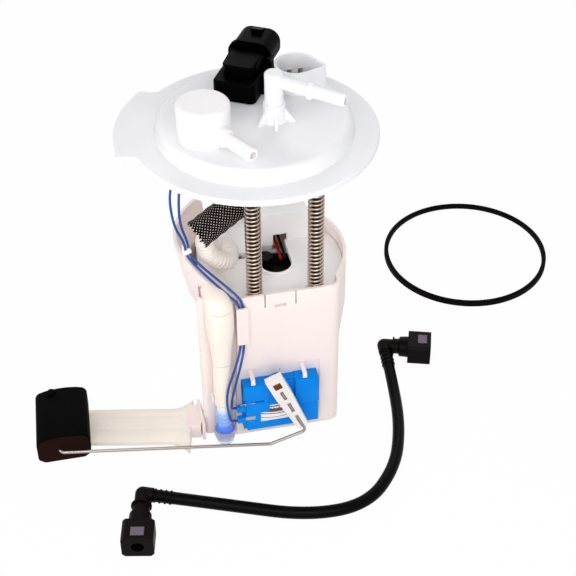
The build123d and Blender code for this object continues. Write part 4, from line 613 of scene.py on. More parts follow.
# %% Card surface
INK_SPECKLE_MM = 0.6
INK_THICKNESS = 0.05 * MM
speckle = add_node(tree, "ShaderNodeTexNoise", {"Vector": place, "Scale": 1 / (INK_SPECKLE_MM * MM)})
ink_colour = add_node(
    tree,
    "ShaderNodeMix",
    {"Factor": speckle.outputs["Fac"], 6: hex_colour("#6b4a3c"), 7: hex_colour("#3f3430")},
    data_type="RGBA",
)
card_colour = add_node(
    tree,
    "ShaderNodeMix",
    {"Factor": printed.outputs[0], 6: hex_colour("#f3f1ee"), 7: ink_colour.outputs["Result"]},
    data_type="RGBA",
)
relief = add_node(
    tree, "ShaderNodeBump", {"Height": printed.outputs[0], "Strength": 0.5, "Distance": INK_THICKNESS}
)
surface = add_node(
    tree,
    "ShaderNodeBsdfPrincipled",
    {"Base Color": card_colour.outputs["Result"], "Roughness": 0.35, "Normal": relief.outputs["Normal"]},
)
close_material(tree, surface.outputs[0])
paint(nodes["resistor_card"], card_print)
print("card surface:", card_print.name)

# %% [markdown]
# ## Float
#
# The float is closed-cell nitrile foam, pressed with a skin and cut at its two ends. The skin is near
# black. The cut end shows brown-black cells of about half a millimetre, so the colour changes at the end
# face.

# %% Nitrile foam float
SKIN_MM = 0.25
CELL_MM = 0.6
CELL_DEPTH = 0.1 * MM
float_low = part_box("level_float")[0]
foam, tree = new_material("nitrile_foam_float")
place = add_node(tree, "ShaderNodeTexCoord").outputs["Object"]
parts = add_node(tree, "ShaderNodeSeparateXYZ", {0: place})
cut_end = add_node(
    tree, "ShaderNodeMath", {0: parts.outputs["Y"], 1: float_low.y + SKIN_MM * MM}, operation="LESS_THAN"
)
cells = add_node(tree, "ShaderNodeTexVoronoi", {"Vector": place, "Scale": 1 / (CELL_MM * MM)}, feature="F1")
cut_colour = add_node(
    tree,
    "ShaderNodeMix",
    {"Factor": cells.outputs["Distance"], 6: hex_colour("#27120c"), 7: hex_colour("#130807")},
    data_type="RGBA",
)
colour = add_node(
    tree,
    "ShaderNodeMix",
    {"Factor": cut_end.outputs[0], 6: hex_colour("#030202"), 7: cut_colour.outputs["Result"]},
    data_type="RGBA",
)
relief = add_node(
    tree, "ShaderNodeBump", {"Height": cells.outputs["Distance"], "Strength": 0.35, "Distance": CELL_DEPTH}
)
surface = add_node(
    tree,
    "ShaderNodeBsdfPrincipled",
    {
        "Base Color": colour.outputs["Result"],
        "Roughness": 0.75,
        "Specular IOR Level": 0.04,
        "Normal": relief.outputs["Normal"],
    },
)
close_material(tree, surface.outputs[0])
paint(nodes["level_float"], foam)
print("float end at y", round(float_low.y, 4))

# %% [markdown]
# ## Tube plug
#
# The fill tube ends in a small ribbed plug, moulded clear at its top and dyed a deeper blue towards its
# bottom ring. The dye follows height, so a ramp over the plug's own height colours it, and clear plastic
# over it gives the wet look.

# %% Blue tube plug
# share of the plug's height, colour there
DYE = (
    (0.0, "#3f6fe0"),
    (0.22, "#3a68dc"),
    (0.34, "#5c8bea"),
    (0.42, "#8fb4f2"),
    (0.66, "#9dbef4"),
    (0.8, "#dfe8f6"),
    (1.0, "#f2f3f6"),
)
plug_low, plug_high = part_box("tube_plug")
plug_blue, tree = new_material("dyed_clear_plug")
place = add_node(tree, "ShaderNodeTexCoord").outputs["Object"]
parts = add_node(tree, "ShaderNodeSeparateXYZ", {0: place})
height = add_node(
    tree,
    "ShaderNodeMapRange",
    {
        "Value": parts.outputs["Z"],
        "From Min": plug_low.z,
        "From Max": plug_high.z,
        "To Min": 0.0,
        "To Max": 1.0,
    },
)
ramp = add_node(tree, "ShaderNodeValToRGB", {"Fac": height.outputs["Result"]})
while len(ramp.color_ramp.elements) < len(DYE):
    ramp.color_ramp.elements.new(0.5)
for stop, (at, code) in zip(ramp.color_ramp.elements, DYE):
    stop.position = at
for stop, (at, code) in zip(ramp.color_ramp.elements, DYE):
    stop.color = hex_colour(code)
surface = add_node(
    tree,
    "ShaderNodeBsdfPrincipled",
    {
        "Base Color": ramp.outputs["Color"],
        "Roughness": 0.22,
        "IOR": 1.5,
        "Subsurface Weight": 0.5,
        "Subsurface Radius": (0.7, 0.8, 1.0),
        "Subsurface Scale": 1.5 * MM,
    },
)
close_material(tree, surface.outputs[0])
paint(nodes["tube_plug"], plug_blue)
print("plug from", round(plug_low.z, 4), "to", round(plug_high.z, 4))

# %% [markdown]
# ## Smooth lines
#
# Wires and hoses start from a route: a few points that a fitter would feed them through. A NURBS spline of
# order 3 with those control points gives one flowing line. Its mesh is read back as points, and even steps
# between them are the stations of a sweep.

# %% Smooth lines
CURVE_ORDER = 3
CURVE_RESOLUTION = 24


def flowing_curve(name, route_mm):
    data = bpy.data.curves.new(name, "CURVE")
    data.dimensions = "3D"
    spline = data.splines.new("NURBS")
    spline.points.add(len(route_mm) - 1)
    for point, place in zip(spline.points, route_mm):
        point.co = (*(Vector(place) * MM), 1)
    spline.order_u = CURVE_ORDER
    spline.use_endpoint_u = True
    spline.resolution_u = CURVE_RESOLUTION
    return data


def line_through(name, route_mm, step_mm):
    """Evenly spaced points read from the route's own spline."""
    data = flowing_curve(name, route_mm)
    holder = bpy.data.objects.new(name, data)
    mesh = bpy.data.meshes.new_from_object(holder)
    points = [v.co.copy() for v in mesh.vertices]
    bpy.data.objects.remove(holder)
    bpy.data.curves.remove(data)
    bpy.data.meshes.remove(mesh)
    spans = [(b - a).length for a, b in zip(points, points[1:])]
    total = sum(spans)
    count = max(2, round(total / (step_mm * MM)))
    even = []
    passed = 0.0
    index = 0
    for i in range(count + 1):
        target = total * i / count
        while index < len(spans) - 1 and passed + spans[index] < target:
            passed += spans[index]
            index += 1
        share = min(1.0, (target - passed) / spans[index])
        even.append(points[index].lerp(points[index + 1], share))
    return even, total


print("smooth lines ready")

# %% [markdown]
# ## Swept tubes
#
# A ring of vertices is extruded from station to station along a line, turned to follow it and scaled to the
# radius wanted there, so one helper makes plain wires, ribbed hoses and frayed sleeves. Each vertex keeps
# how far round, as a share of a turn, and how far along, in millimetres, it sits, and these two make the UV
# map that the braid is drawn on.

# %% Swept tubes


def swept(line, radius_at, sides=12, closed=True):
    """Extrudes a ring along the line; radius_at(length in mm) gives millimetres. Returns the bmesh."""
    shell = bmesh.new()
    around = shell.verts.layers.float.new("around")
    along = shell.verts.layers.float.new("along")
    bmesh.ops.create_circle(shell, segments=sides, radius=1.0, cap_ends=False)
    ring = shell.verts[:]
    for i, vertex in enumerate(ring):
        vertex[around] = i / sides
    heading = (line[1] - line[0]).normalized()
    first = radius_at(0.0) * MM
    turn = heading.to_track_quat("Z", "Y").to_matrix().to_4x4()
    start = Matrix.Translation(line[0]) @ turn @ Matrix.Scale(first, 4)
    bmesh.ops.transform(shell, matrix=start, verts=ring)
    edges = shell.edges[:]
    passed = 0.0
    radius = first
    for before, here, after in zip(line, line[1:], [*line[2:], None]):
        passed += (here - before).length
        new_heading = ((after - before) if after else (here - before)).normalized()
        new_radius = radius_at(passed / MM) * MM
        made = bmesh.ops.extrude_edge_only(shell, edges=edges)["geom"]
        ring = [g for g in made if isinstance(g, bmesh.types.BMVert)]
        own = set(ring)
        edges = [g for g in made if isinstance(g, bmesh.types.BMEdge) and set(g.verts) <= own]
        turn = heading.rotation_difference(new_heading).to_matrix().to_4x4()
        grown = Matrix.Scale(new_radius / radius, 4)
        move = Matrix.Translation(here) @ turn @ grown @ Matrix.Translation(-before)
        bmesh.ops.transform(shell, matrix=move, verts=ring)
        for vertex in ring:
            vertex[along] = passed / MM
        heading, radius = new_heading, new_radius
    uv = shell.loops.layers.uv.new("millimetres")
    for face in shell.faces:
        shares = [loop.vert[around] for loop in face.loops]
        wraps = max(shares) - min(shares) > 0.5
        for loop, share in zip(face.loops, shares):
            full_turns = 1 if wraps and share < 0.5 else 0
            loop[uv].uv = (share + full_turns, loop.vert[along])
    if closed:
        bmesh.ops.holes_fill(shell, edges=[e for e in shell.edges if e.is_boundary])
    return shell


print("swept tubes ready")

# %% [markdown]
# ## Coil springs
#
# Each guide rod carries an open-wound spring of drawn wire. Its cross-section is a small circle spun round
# the rod while it climbs, which is what a coiling machine does. When the tank pushes the reservoir up, the
# coils close.

# %% Coil springs
ROD_Y = -36.0
ROD_X = {"left": -9.5, "right": 29.6}
SPRING_RADIUS = 5.2
SPRING_WIRE = 1.4
COIL_PITCH = 2.9
SPRING_LOW = -96.5
SPRING_TOP = -4.0
SPRING_STEPS = 22
spring_length = SPRING_TOP - SPRING_LOW - SPRING_WIRE
coil_count = round(spring_length / COIL_PITCH)
for side, rod_x in ROD_X.items():
    coil = bmesh.new()
    wire_start = Vector((rod_x + SPRING_RADIUS - SPRING_WIRE / 2, ROD_Y, SPRING_LOW + SPRING_WIRE / 2)) * MM
    upright = Matrix.Rotation(math.radians(90), 4, "X")
    bmesh.ops.create_circle(
        coil, segments=8, radius=SPRING_WIRE / 2 * MM, matrix=Matrix.Translation(wire_start) @ upright
    )
    steps = coil_count * SPRING_STEPS
    bmesh.ops.spin(
        coil,
        geom=coil.verts[:] + coil.edges[:],
        cent=Vector((rod_x, ROD_Y, 0)) * MM,
        axis=(0, 0, 1),
        dvec=(0, 0, spring_length / steps * MM),
        angle=math.tau * coil_count,
        steps=steps,
    )
    bmesh.ops.holes_fill(coil, edges=[e for e in coil.edges if e.is_boundary])
    piece = make_piece(f"coil_spring_{side}", coil, "flange", spring_steel, f"spring_{side}")
    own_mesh(piece)
print("coils per spring:", coil_count)

# %% [markdown]
# ## Fuel hose
#
# A corrugated nylon hose takes the fuel from the filter to the flange and folds as the reservoir moves. Its
# ribs come from a radius that rises and falls along the sweep, which is what the machine's moulds do to the
# soft tube.

# %% Corrugated fuel hose
HOSE_TOP = -2.0
HOSE_LOW = -97.0
HOSE_RADIUS = 5.9
RIB_PITCH = 2.6
RIB_DEPTH = 1.0
hose_route = (
    (10.5, -6.5, HOSE_TOP),
    (10.5, -6.5, -18.0),
    (-12.0, -15.0, -36.0),
    (-38.0, -21.0, -52.0),
    (-36.0, -18.0, -73.0),
    (-21.0, -14.0, -86.0),
    (-18.0, 3.0, -84.0),
    (-24.5, 6.0, -86.0),
    (-24.5, 6.0, HOSE_LOW),
)
hose_line, hose_length = line_through("fuel_hose_line", hose_route, RIB_PITCH / 6)


def rib_radius(along):
    return HOSE_RADIUS - RIB_DEPTH * (0.5 - 0.5 * math.cos(math.tau * along / RIB_PITCH)) ** 1.5


hose_nylon_white = moulded_plastic(
    "milky_nylon_corrugated_hose", "#f3ece6", "#e8dfd8", rough=0.4, under_mm=1.2
)
fuel_hose = make_piece(
    "corrugated_fuel_hose", swept(hose_line, rib_radius, sides=28), "flange", hose_nylon_white, "fuel_hose"
)
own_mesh(fuel_hose)
print("fuel hose, mm:", round(hose_length / MM, 1))

# %% [markdown]
# ## Braid
#
# Where the hose could rub, a braided sleeve of monofilament covers it. The threads are black, and what
# shows between them is pale. Two sets of diagonal threads are drawn on the sleeve's own map, one leaning
# each way. The real threads are finer than a render can show, so they are drawn as coarse as they need to
# be to read as a braid.

# %% Braided sleeve material
THREAD_PAIRS = 24
THREAD_LEAN_MM = 2.3
THREAD_HALF = 0.33
THREAD_THICKNESS = 0.4 * MM
braid, tree = new_material("black_white_monofilament_braid")
flat = add_node(tree, "ShaderNodeUVMap", uv_map="millimetres").outputs["UV"]
parts = add_node(tree, "ShaderNodeSeparateXYZ", {0: flat})
round_count = add_node(
    tree, "ShaderNodeMath", {0: parts.outputs["X"], 1: float(THREAD_PAIRS)}, operation="MULTIPLY"
)
long_count = add_node(
    tree, "ShaderNodeMath", {0: parts.outputs["Y"], 1: 1 / THREAD_LEAN_MM}, operation="MULTIPLY"
)
waves = []
for operation in ("ADD", "SUBTRACT"):
    lean = add_node(
        tree, "ShaderNodeMath", {0: round_count.outputs[0], 1: long_count.outputs[0]}, operation=operation
    )
    wave = add_node(tree, "ShaderNodeMath", {0: lean.outputs[0], 1: 0.5}, operation="PINGPONG")
    waves.append(wave)
gap_one = add_node(
    tree, "ShaderNodeMath", {0: waves[0].outputs[0], 1: THREAD_HALF}, operation="GREATER_THAN"
)
gap_two = add_node(
    tree, "ShaderNodeMath", {0: waves[1].outputs[0], 1: THREAD_HALF}, operation="GREATER_THAN"
)
window = add_node(
    tree, "ShaderNodeMath", {0: gap_one.outputs[0], 1: gap_two.outputs[0]}, operation="MULTIPLY"
)
thread_top = add_node(
    tree, "ShaderNodeMath", {0: waves[0].outputs[0], 1: waves[1].outputs[0]}, operation="MINIMUM"
)
thread_height = add_node(tree, "ShaderNodeMath", {0: 0.5, 1: thread_top.outputs[0]}, operation="SUBTRACT")
thread_colour = add_node(
    tree,
    "ShaderNodeMix",
    {"Factor": window.outputs[0], 6: hex_colour("#030101"), 7: hex_colour("#d6c6be")},
    data_type="RGBA",
)
relief = add_node(
    tree,
    "ShaderNodeBump",
    {"Height": thread_height.outputs[0], "Strength": 0.6, "Distance": THREAD_THICKNESS},
)
surface = add_node(
    tree,
    "ShaderNodeBsdfPrincipled",
    {
        "Base Color": thread_colour.outputs["Result"],
        "Roughness": 0.7,
        "Specular IOR Level": 0.03,
        "Normal": relief.outputs["Normal"],
    },
)
close_material(tree, surface.outputs[0])
print("braid threads:", THREAD_PAIRS * 2)

# %% [markdown]
# ## Braided sleeve
#
# The sleeve is cut from a long roll and slipped over the hose. It is snug at its upper end, and its lower,
# cut end opens a little and shows uneven thread ends. The sweep is left open, its end ring is shifted
# vertex by vertex for the cut, and a solidify gives the cloth its thickness.

# %% Braided sleeve
SLEEVE_RADIUS = 9.2
SLEEVE_THICKNESS = 0.5
SNUG_BY = 1.6
SNUG_LENGTH = 14.0
FRAY_LENGTH = 5.0
FRAY_SPLAY = 0.15
RIPPLE_HEIGHT = 0.22
RIPPLE_TURN = 0.9
END_REACH = 12.0
# turn from vertex to vertex, height in mm
JAGS = ((2.4, 1.1), (7.1, 0.6))
sleeve_route = (
    (5.5, -8.4, -22.0),
    (-4.0, -12.0, -29.0),
    (-12.0, -15.0, -36.0),
    (-26.0, -18.0, -44.5),
    (-41.0, -21.4, -53.2),
)
sleeve_line, sleeve_length = line_through("sleeve_line", sleeve_route, 1.0)


def sleeve_radius(along):
    """Snug on the hose at its upper end and splayed at the cut lower end."""
    remaining = sleeve_length / MM - along
    splay = FRAY_SPLAY * max(0.0, 1 - remaining / FRAY_LENGTH)
    snug = SNUG_BY * max(0.0, 1 - along / SNUG_LENGTH)
    return SLEEVE_RADIUS - snug + splay + RIPPLE_HEIGHT * math.sin(along * RIPPLE_TURN)


sleeve_shell = swept(sleeve_line, sleeve_radius, sides=60, closed=False)
end_ring = [
    v for v in sleeve_shell.verts if v.is_boundary and (v.co - sleeve_line[-1]).length < END_REACH * MM
]
end_heading = (sleeve_line[-1] - sleeve_line[-3]).normalized()
for i, vertex in enumerate(end_ring):
    jag = sum(math.sin(i * step) * reach for step, reach in JAGS)
    bmesh.ops.translate(sleeve_shell, verts=[vertex], vec=end_heading * jag * MM)
bmesh.ops.solidify(sleeve_shell, geom=sleeve_shell.faces[:], thickness=SLEEVE_THICKNESS * MM)
sleeve = make_piece("braided_sleeve", sleeve_shell, "flange", braid, "mesh_sleeve")
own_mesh(sleeve)
print("sleeve, mm:", round(sleeve_length / MM, 1))

# %% [markdown]
# ## Wires
#
# Two navy wires run from the flange's plug to a clip on the reservoir's shoulder and on to the level
# sender, and a red and a black lead feed the pump. Each is a thin sweep along its route. In the tank, the
# wires above the clip fold as the reservoir moves.

# %% Wires
WIRE_RADIUS = 0.8
WIRE_STEP_MM = 1.6
PLUG_FOOT_Z = -2.3
CLIP = Vector((-48.6, -24.0, -63.0))
CLIP_OUT = Vector((-0.90186, -0.43203, 0.0))
WIRE_SPREAD = 1.1


def wire_piece(name, route, body, material, node, fold_from=None):
    line, length = line_through(f"{name}_line", route, WIRE_STEP_MM)
    piece = make_piece(name, swept(line, lambda along: WIRE_RADIUS, sides=10), body, material, node)
    if fold_from is not None:
        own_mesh(piece)
    print(f"{name}, mm: {length / MM:.0f}")


for label, side in (("outer", -1), ("inner", 1)):
    at_clip = CLIP - CLIP_OUT * side * WIRE_SPREAD
    upper_route = (
        (27.5, 29 + 3 * side, PLUG_FOOT_Z),
        (27.5, 29 + 3 * side, -9.3),
        (-42.6, 5 * side, -8.0),
        (-54 + 3 * side, -20.0, -18 - 2 * side),
        (-54 + 2 * side, -21.0, -44.0),
        (at_clip.x, at_clip.y, at_clip.z + 6),
        (at_clip.x, at_clip.y, at_clip.z + 0.4),
    )
    wire_piece(
        f"navy_wire_above_{label}",
        upper_route,
        "flange",
        wire_navy,
        f"harness_wire_{label}",
        fold_from=PLUG_FOOT_Z,
    )

lower_routes = {
    "outer": (
        (-49.59, -24.48, -63.3),
        (-49.59, -24.48, -68.0),
        (-25.65, -48.73, -85.66),
        (-21.1, -47.25, -92.0),
        (-21.1, -47.25, -110.0),
        (-21.1, -47.25, -127.5),
        (-26.65, -54.5, -138.5),
        (-33.72, -55.85, -159.0),
        (-31.5, -54.5, -184.0),
        (-28.3, -53.65, -186.0),
        (-24.5, -53.65, -186.0),
    ),
    "inner": (
        (-47.61, -23.52, -63.3),
        (-47.61, -23.52, -68.0),
        (-22.35, -46.97, -84.34),
        (-18.9, -47.25, -92.0),
        (-18.9, -47.25, -110.0),
        (-18.9, -47.25, -127.5),
        (-23.35, -54.5, -138.5),
        (-28.88, -55.85, -159.0),
        (-30.0, -53.0, -174.6),
        (-28.3, -51.75, -176.0),
        (-24.5, -51.75, -176.0),
    ),
}
for label, route in lower_routes.items():
    wire_piece(
        f"navy_wire_below_{label}", route, "reservoir", wire_navy, f"sender_wire_{label}"
    )

LEAD_FOOT_Z = -97.8
# colour, place beside the pump, place in the plug, insulation
PUMP_LEADS = (("red", 16.5, 0, wire_red), ("black", 19.5, 3, wire_black))
for label, lead_x, plug_shift, material in PUMP_LEADS:
    lead_route = (
        (31.5 + plug_shift, 29.0, PLUG_FOOT_Z),
        (31.5 + plug_shift, 29.0, -16.3),
        (lead_x, 41.0, -54.0),
        (lead_x, 41.0, LEAD_FOOT_Z),
    )
    wire_piece(
        f"{label}_lead",
        lead_route,
        "flange",
        material,
        f"harness_lead_{label}",
        PLUG_FOOT_Z,
    )

# %% [markdown]
# ## Fill tube
#
# A cream tube runs down the reservoir's left front and lets fuel in at its foot. At its top a moulded
# shoulder swells over the ring that holds it and bends back into the wall. The tube is a plain sweep, and a
# changing radius shapes the shoulder.

# %% Fill tube
TUBE_RADIUS = 6.0
SHOULDER_RADIUS = 8.9
SHOULDER_EASE = 34.0
SHOULDER_CLEARANCE = 0.05
tube_route = (
    (-34.2, -48.5, -171.5),
    (-34.2, -48.5, -146.0),
    (-34.2, -48.5, -120.0),
    (-34.2, -48.5, -98.0),
)
shoulder_route = (
    (-34.2, -48.5, -136.0),
    (-34.2, -48.5, -118.0),
    (-34.2, -48.5, -103.0),
    (-34.2, -48.3, -94.3),
    (-34.2, -46.0, -90.6),
    (-34.3, -41.0, -89.2),
    (-34.3, -33.0, -88.8),
)
tube_line, tube_length = line_through("fill_tube_line", tube_route, 1.0)
shoulder_line = line_through("tube_shoulder_line", shoulder_route, 1.0)[0]


def shoulder_radius(along):
    rise = min(1.0, along / SHOULDER_EASE)
    swell = rise * rise * (3 - 2 * rise)
    return TUBE_RADIUS + SHOULDER_CLEARANCE + (SHOULDER_RADIUS - TUBE_RADIUS) * swell


tube_shell = swept(tube_line, lambda along: TUBE_RADIUS, sides=40)
fill_tube = make_piece("fill_tube_moulding", tube_shell, "reservoir", cream_nylon, "fill_tube")
shoulder = make_piece(
    "fill_tube_shoulder", swept(shoulder_line, shoulder_radius, sides=40), "reservoir", cream_nylon
)
print("fill tube, mm:", round(tube_length / MM, 1))

# %% [markdown]
# ## Float block
#
# The float is cut from a foam bar with an arched top. Its profile starts as a handful of points, an
# extrusion gives the bar its depth, and a bevel rounds the skin where the mould pressed it. A small nub
# stands where the mould was filled.

# %% Float block
FLOAT_FRONT = -58.0
FLOAT_DEPTH = 46.0
FLOAT_MIDDLE = Vector((-140.0, 0.0, -182.0))
FLOAT_LEAN = 0.055
FLOAT_ROUNDING = 1.7
SHARP_TURN = math.radians(25)
NUB_RADIUS = 3.0
NUB_FLATTENING = 0.6
# how far the nub stands left of the middle, before the back and above the middle
NUB_LEFT, NUB_BEFORE_BACK, NUB_UP = 6, 4.2, 11.2
float_profile = (
    (17, 6),
    (17, -8),
    (13, -11),
    (-13, -11),
    (-17, -8),
    (-17, 6),
    (-15, 8.6),
    (-10, 10.1),
    (-5, 10.8),
    (0, 11),
    (5, 10.8),
    (10, 10.1),
    (15, 8.6),
)
block = bmesh.new()
outline = [block.verts.new((FLOAT_MIDDLE.x + x, FLOAT_FRONT, FLOAT_MIDDLE.z + z)) for x, z in float_profile]
end_face = block.faces.new(outline)
made = bmesh.ops.extrude_face_region(block, geom=[end_face])["geom"]
back = [g for g in made if isinstance(g, bmesh.types.BMVert)]
bmesh.ops.translate(block, verts=back, vec=(0, FLOAT_DEPTH, 0))
bmesh.ops.recalc_face_normals(block, faces=block.faces[:])
sharp = [e for e in block.edges if e.calc_face_angle(0) > SHARP_TURN]
bmesh.ops.bevel(
    block,
    geom=sharp,
    offset=FLOAT_ROUNDING,
    offset_type="OFFSET",
    segments=4,
    profile=0.5,
    affect="EDGES",
    material=-1,
    clamp_overlap=True,
)
nub_y = FLOAT_FRONT + FLOAT_DEPTH - NUB_BEFORE_BACK
nub_place = Matrix.Translation((FLOAT_MIDDLE.x - NUB_LEFT, nub_y, FLOAT_MIDDLE.z + NUB_UP))
nub_shape = Matrix.Diagonal((1, 1, NUB_FLATTENING, 1))
bmesh.ops.create_uvsphere(
    block, u_segments=20, v_segments=10, radius=NUB_RADIUS, matrix=nub_place @ nub_shape
)
for vertex in block.verts:
    vertex.co.x += (vertex.co.y - FLOAT_FRONT) * FLOAT_LEAN
bmesh.ops.scale(block, vec=(MM, MM, MM), verts=block.verts[:])
float_block = make_piece("float_block", block, "float_arm", foam, "level_float")

# %% [markdown]
# ## Bevelled blocks
#
# The next small mouldings all start as a box with slightly rounded edges, because a mould's corners are
# never knife sharp. One helper adds such a box to a bmesh, and a second makes a whole piece of a single
# one.

# %% Bevelled blocks


def add_block(shell, low, high, edge):
    """Adds one bevelled block to a bmesh, between two corners in mm."""
    made = bmesh.ops.create_cube(shell, size=1.0)["verts"]
    size = Vector(high) - Vector(low)
    middle = (Vector(high) + Vector(low)) / 2
    bmesh.ops.scale(shell, vec=size, verts=made)
    bmesh.ops.translate(shell, vec=middle, verts=made)
    corners = set(made)
    edges = [e for e in shell.edges if corners.issuperset(e.verts)]
    bmesh.ops.bevel(
        shell,
        geom=edges,
        offset=edge,
        offset_type="OFFSET",
        segments=3,
        profile=0.5,
        affect="EDGES",
        material=-1,
    )


def rounded_block(name, middle, size, turn, body, material, edge=0.5, stands_for=()):
    """A small moulded block; middle and size in mm, turned about Y."""
    shell = bmesh.new()
    add_block(shell, -Vector(size) / 2, Vector(size) / 2, edge)
    place = Matrix.Scale(MM, 4) @ Matrix.Translation(middle) @ Matrix.Rotation(turn, 4, "Y")
    bmesh.ops.transform(shell, matrix=place, verts=shell.verts[:])
    piece = make_piece(name, shell, body, material, *stands_for)


print("block helpers ready")

# %% [markdown]
# ## Wire clip
#
# On the reservoir's shoulder a small band holds the two navy wires side by side. It is a short block with
# well rounded edges, turned to lie across the wires.

# %% Wire clip
CLIP_BAND = (5.0, 3.6, 3.4)
CLIP_TURN = math.radians(-25)
CLIP_EDGE = 0.8
rounded_block(
    "wire_clip_band",
    CLIP,
    CLIP_BAND,
    CLIP_TURN,
    "reservoir",
    clip_acetal,
    CLIP_EDGE,
    ("wire_clip",),
)

# %% [markdown]
# ## Sender housing
#
# The azure housing is a shallow moulding with raised pads, steps round its card and a round hub for the
# arm's pin. Each pad is a block from the housing's back to its own front, so a table of their edges gives
# the whole stepped shape.

# %% Sender housing
HOUSING_EDGE = 0.4
SENDER_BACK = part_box("sender_housing")[1].y / MM
HOUSING_BLOCKS = (
    # left, right, foot, top, front
    (-21.8, 28.2, -197.5, -157.2, -50.8),
    (-21.8, -4.6, -168.0, -157.0, -54.4),
    (-20.4, -4.6, -171.4, -168.0, -53.4),
    (-20.4, -16.6, -173.0, -171.4, -53.4),
    (-8.0, -4.6, -173.0, -171.4, -53.4),
    (-20.4, -4.6, -182.4, -173.0, -53.4),
    (-20.4, -10.6, -191.6, -182.4, -53.0),
    (-4.6, 12.4, -177.4, -158.0, -52.6),
    (12.4, 28.2, -177.2, -156.6, -55.0),
    (12.4, 28.2, -196.6, -177.2, -53.2),
    (-19.8, 12.4, -197.5, -191.6, -52.8),
)
HUB_RADIUS = 5.2
HUB_FRONT = -57.6
HUB_ROOT = -52.0
HUB_DRAFT = 0.4
housing_shell = bmesh.new()
for block_left, block_right, foot, top, front in HOUSING_BLOCKS:
    add_block(housing_shell, (block_left, front, foot), (block_right, SENDER_BACK, top), HOUSING_EDGE)
hub_place = Matrix.Translation((PIVOT.x / MM, (HUB_FRONT + HUB_ROOT) / 2, PIVOT.z / MM))
towards_front = Matrix.Rotation(math.radians(90), 4, "X")
bmesh.ops.create_cone(
    housing_shell,
    cap_ends=True,
    segments=48,
    radius1=HUB_RADIUS,
    radius2=HUB_RADIUS - HUB_DRAFT,
    depth=HUB_ROOT - HUB_FRONT,
    matrix=hub_place @ towards_front,
)
bmesh.ops.scale(housing_shell, vec=(MM, MM, MM), verts=housing_shell.verts[:])
housing = make_piece("sender_housing_moulding", housing_shell, "reservoir", azure_acetal, "sender_housing")

# %% [markdown]
# ## Card
#
# The printed card is a thin ceramic plate that sits in the housing's recess. Fired ceramic keeps a crisp
# edge, so it gets only the smallest bevel.

# %% Card
CARD_EDGE = 0.15
CARD_LOW = (-10.4, -52.3, -191.4)
CARD_HIGH = (12.2, -51.0, -177.6)
card_shell = bmesh.new()
add_block(card_shell, CARD_LOW, CARD_HIGH, CARD_EDGE)
bmesh.ops.scale(card_shell, vec=(MM, MM, MM), verts=card_shell.verts[:])
card_piece = make_piece("printed_card", card_shell, "reservoir", card_print, "resistor_card")

# %% [markdown]
# ## Crimp sleeves and arm bars
#
# Two azure sleeves cover the crimps where the navy wires reach the sender, and two small bars snap the
# steel wire into the arm's channel. The bars ride on the arm, so they lean with it and swing with it.

# %% Crimp sleeves and arm bars
CRIMP_SLEEVE_SIZE = (5.6, 3.6, 4.4)
CRIMP_SLEEVE_X = -23.5
CRIMP_SLEEVE_Y = -52.6
TERMINAL_LEVELS = {"upper": -176.0, "lower": -186.0}
for level, z in TERMINAL_LEVELS.items():
    rounded_block(
        f"crimp_sleeve_{level}",
        (CRIMP_SLEEVE_X, CRIMP_SLEEVE_Y, z),
        CRIMP_SLEEVE_SIZE,
        0.0,
        "reservoir",
        azure_acetal,
    )

ARM_LEAN = math.radians(23)
ARM_FRONT = -62.5
ARM_BARS = (13.0, 26.0)
BAR_SIZE = (6.4, 0.9, 3.6)
BAR_EDGE = 0.3
for number, down in enumerate(ARM_BARS, 1):
    middle = (
        PIVOT.x / MM + math.sin(ARM_LEAN) * down,
        ARM_FRONT,
        PIVOT.z / MM - math.cos(ARM_LEAN) * down,
    )
    rounded_block(
        f"arm_bar_{number}", middle, BAR_SIZE, -ARM_LEAN, "float_arm", arm_acetal, BAR_EDGE
    )

# %% [markdown]
# ## Filter fabric
#
# The first filter is a bag of woven nylon. Its threads are about a tenth of a millimetre thick, too fine to
# show, so warp and weft are drawn about a millimetre apart, squared to the bag, as a faint shade and
# relief. A soft stain of a few centimetres and a little light under the surface make it cloth.

# %% Filter fabric
SOCK_ROOT = Vector((-47.72, -34.5, -200.3))
SOCK_AXIS = Vector((-0.979925, 0.199368, 0.0))
SOCK_START = 6.5
SOCK_LENGTH = 85.5
SOCK_WIDTH = 33.0
SOCK_FORWARD = 5.0
SOCK_THICK = 9.5
WEAVE_MM = 0.9
WEAVE_DEPTH = 0.15 * MM
STAIN_MM = 18
fabric, tree = new_material("woven_nylon_filter_fabric")
place = add_node(tree, "ShaderNodeTexCoord").outputs["Object"]
laid = add_node(
    tree,
    "ShaderNodeMapping",
    {
        "Vector": place,
        "Rotation": (0, 0, -math.atan2(SOCK_AXIS.y, SOCK_AXIS.x)),
        "Scale": (1 / (WEAVE_MM * MM),) * 3,
    },
)
parts = add_node(tree, "ShaderNodeSeparateXYZ", {0: laid.outputs[0]})
warp = add_node(tree, "ShaderNodeMath", {0: parts.outputs["X"], 1: 0.5}, operation="PINGPONG")
weft = add_node(tree, "ShaderNodeMath", {0: parts.outputs["Y"], 1: 0.5}, operation="PINGPONG")
weave = add_node(tree, "ShaderNodeMath", {0: warp.outputs[0], 1: weft.outputs[0]}, operation="MULTIPLY")
stain = add_node(tree, "ShaderNodeTexNoise", {"Vector": place, "Scale": 1 / (STAIN_MM * MM), "Detail": 2.0})
colour = add_node(
    tree,
    "ShaderNodeMix",
    {"Factor": stain.outputs["Fac"], 6: hex_colour("#fbf4ea"), 7: hex_colour("#f4eadf")},
    data_type="RGBA",
)
thread_shade = add_node(
    tree, "ShaderNodeMapRange", {"Value": weave.outputs[0], "From Max": 0.25, "To Min": 0.96, "To Max": 1.0}
)
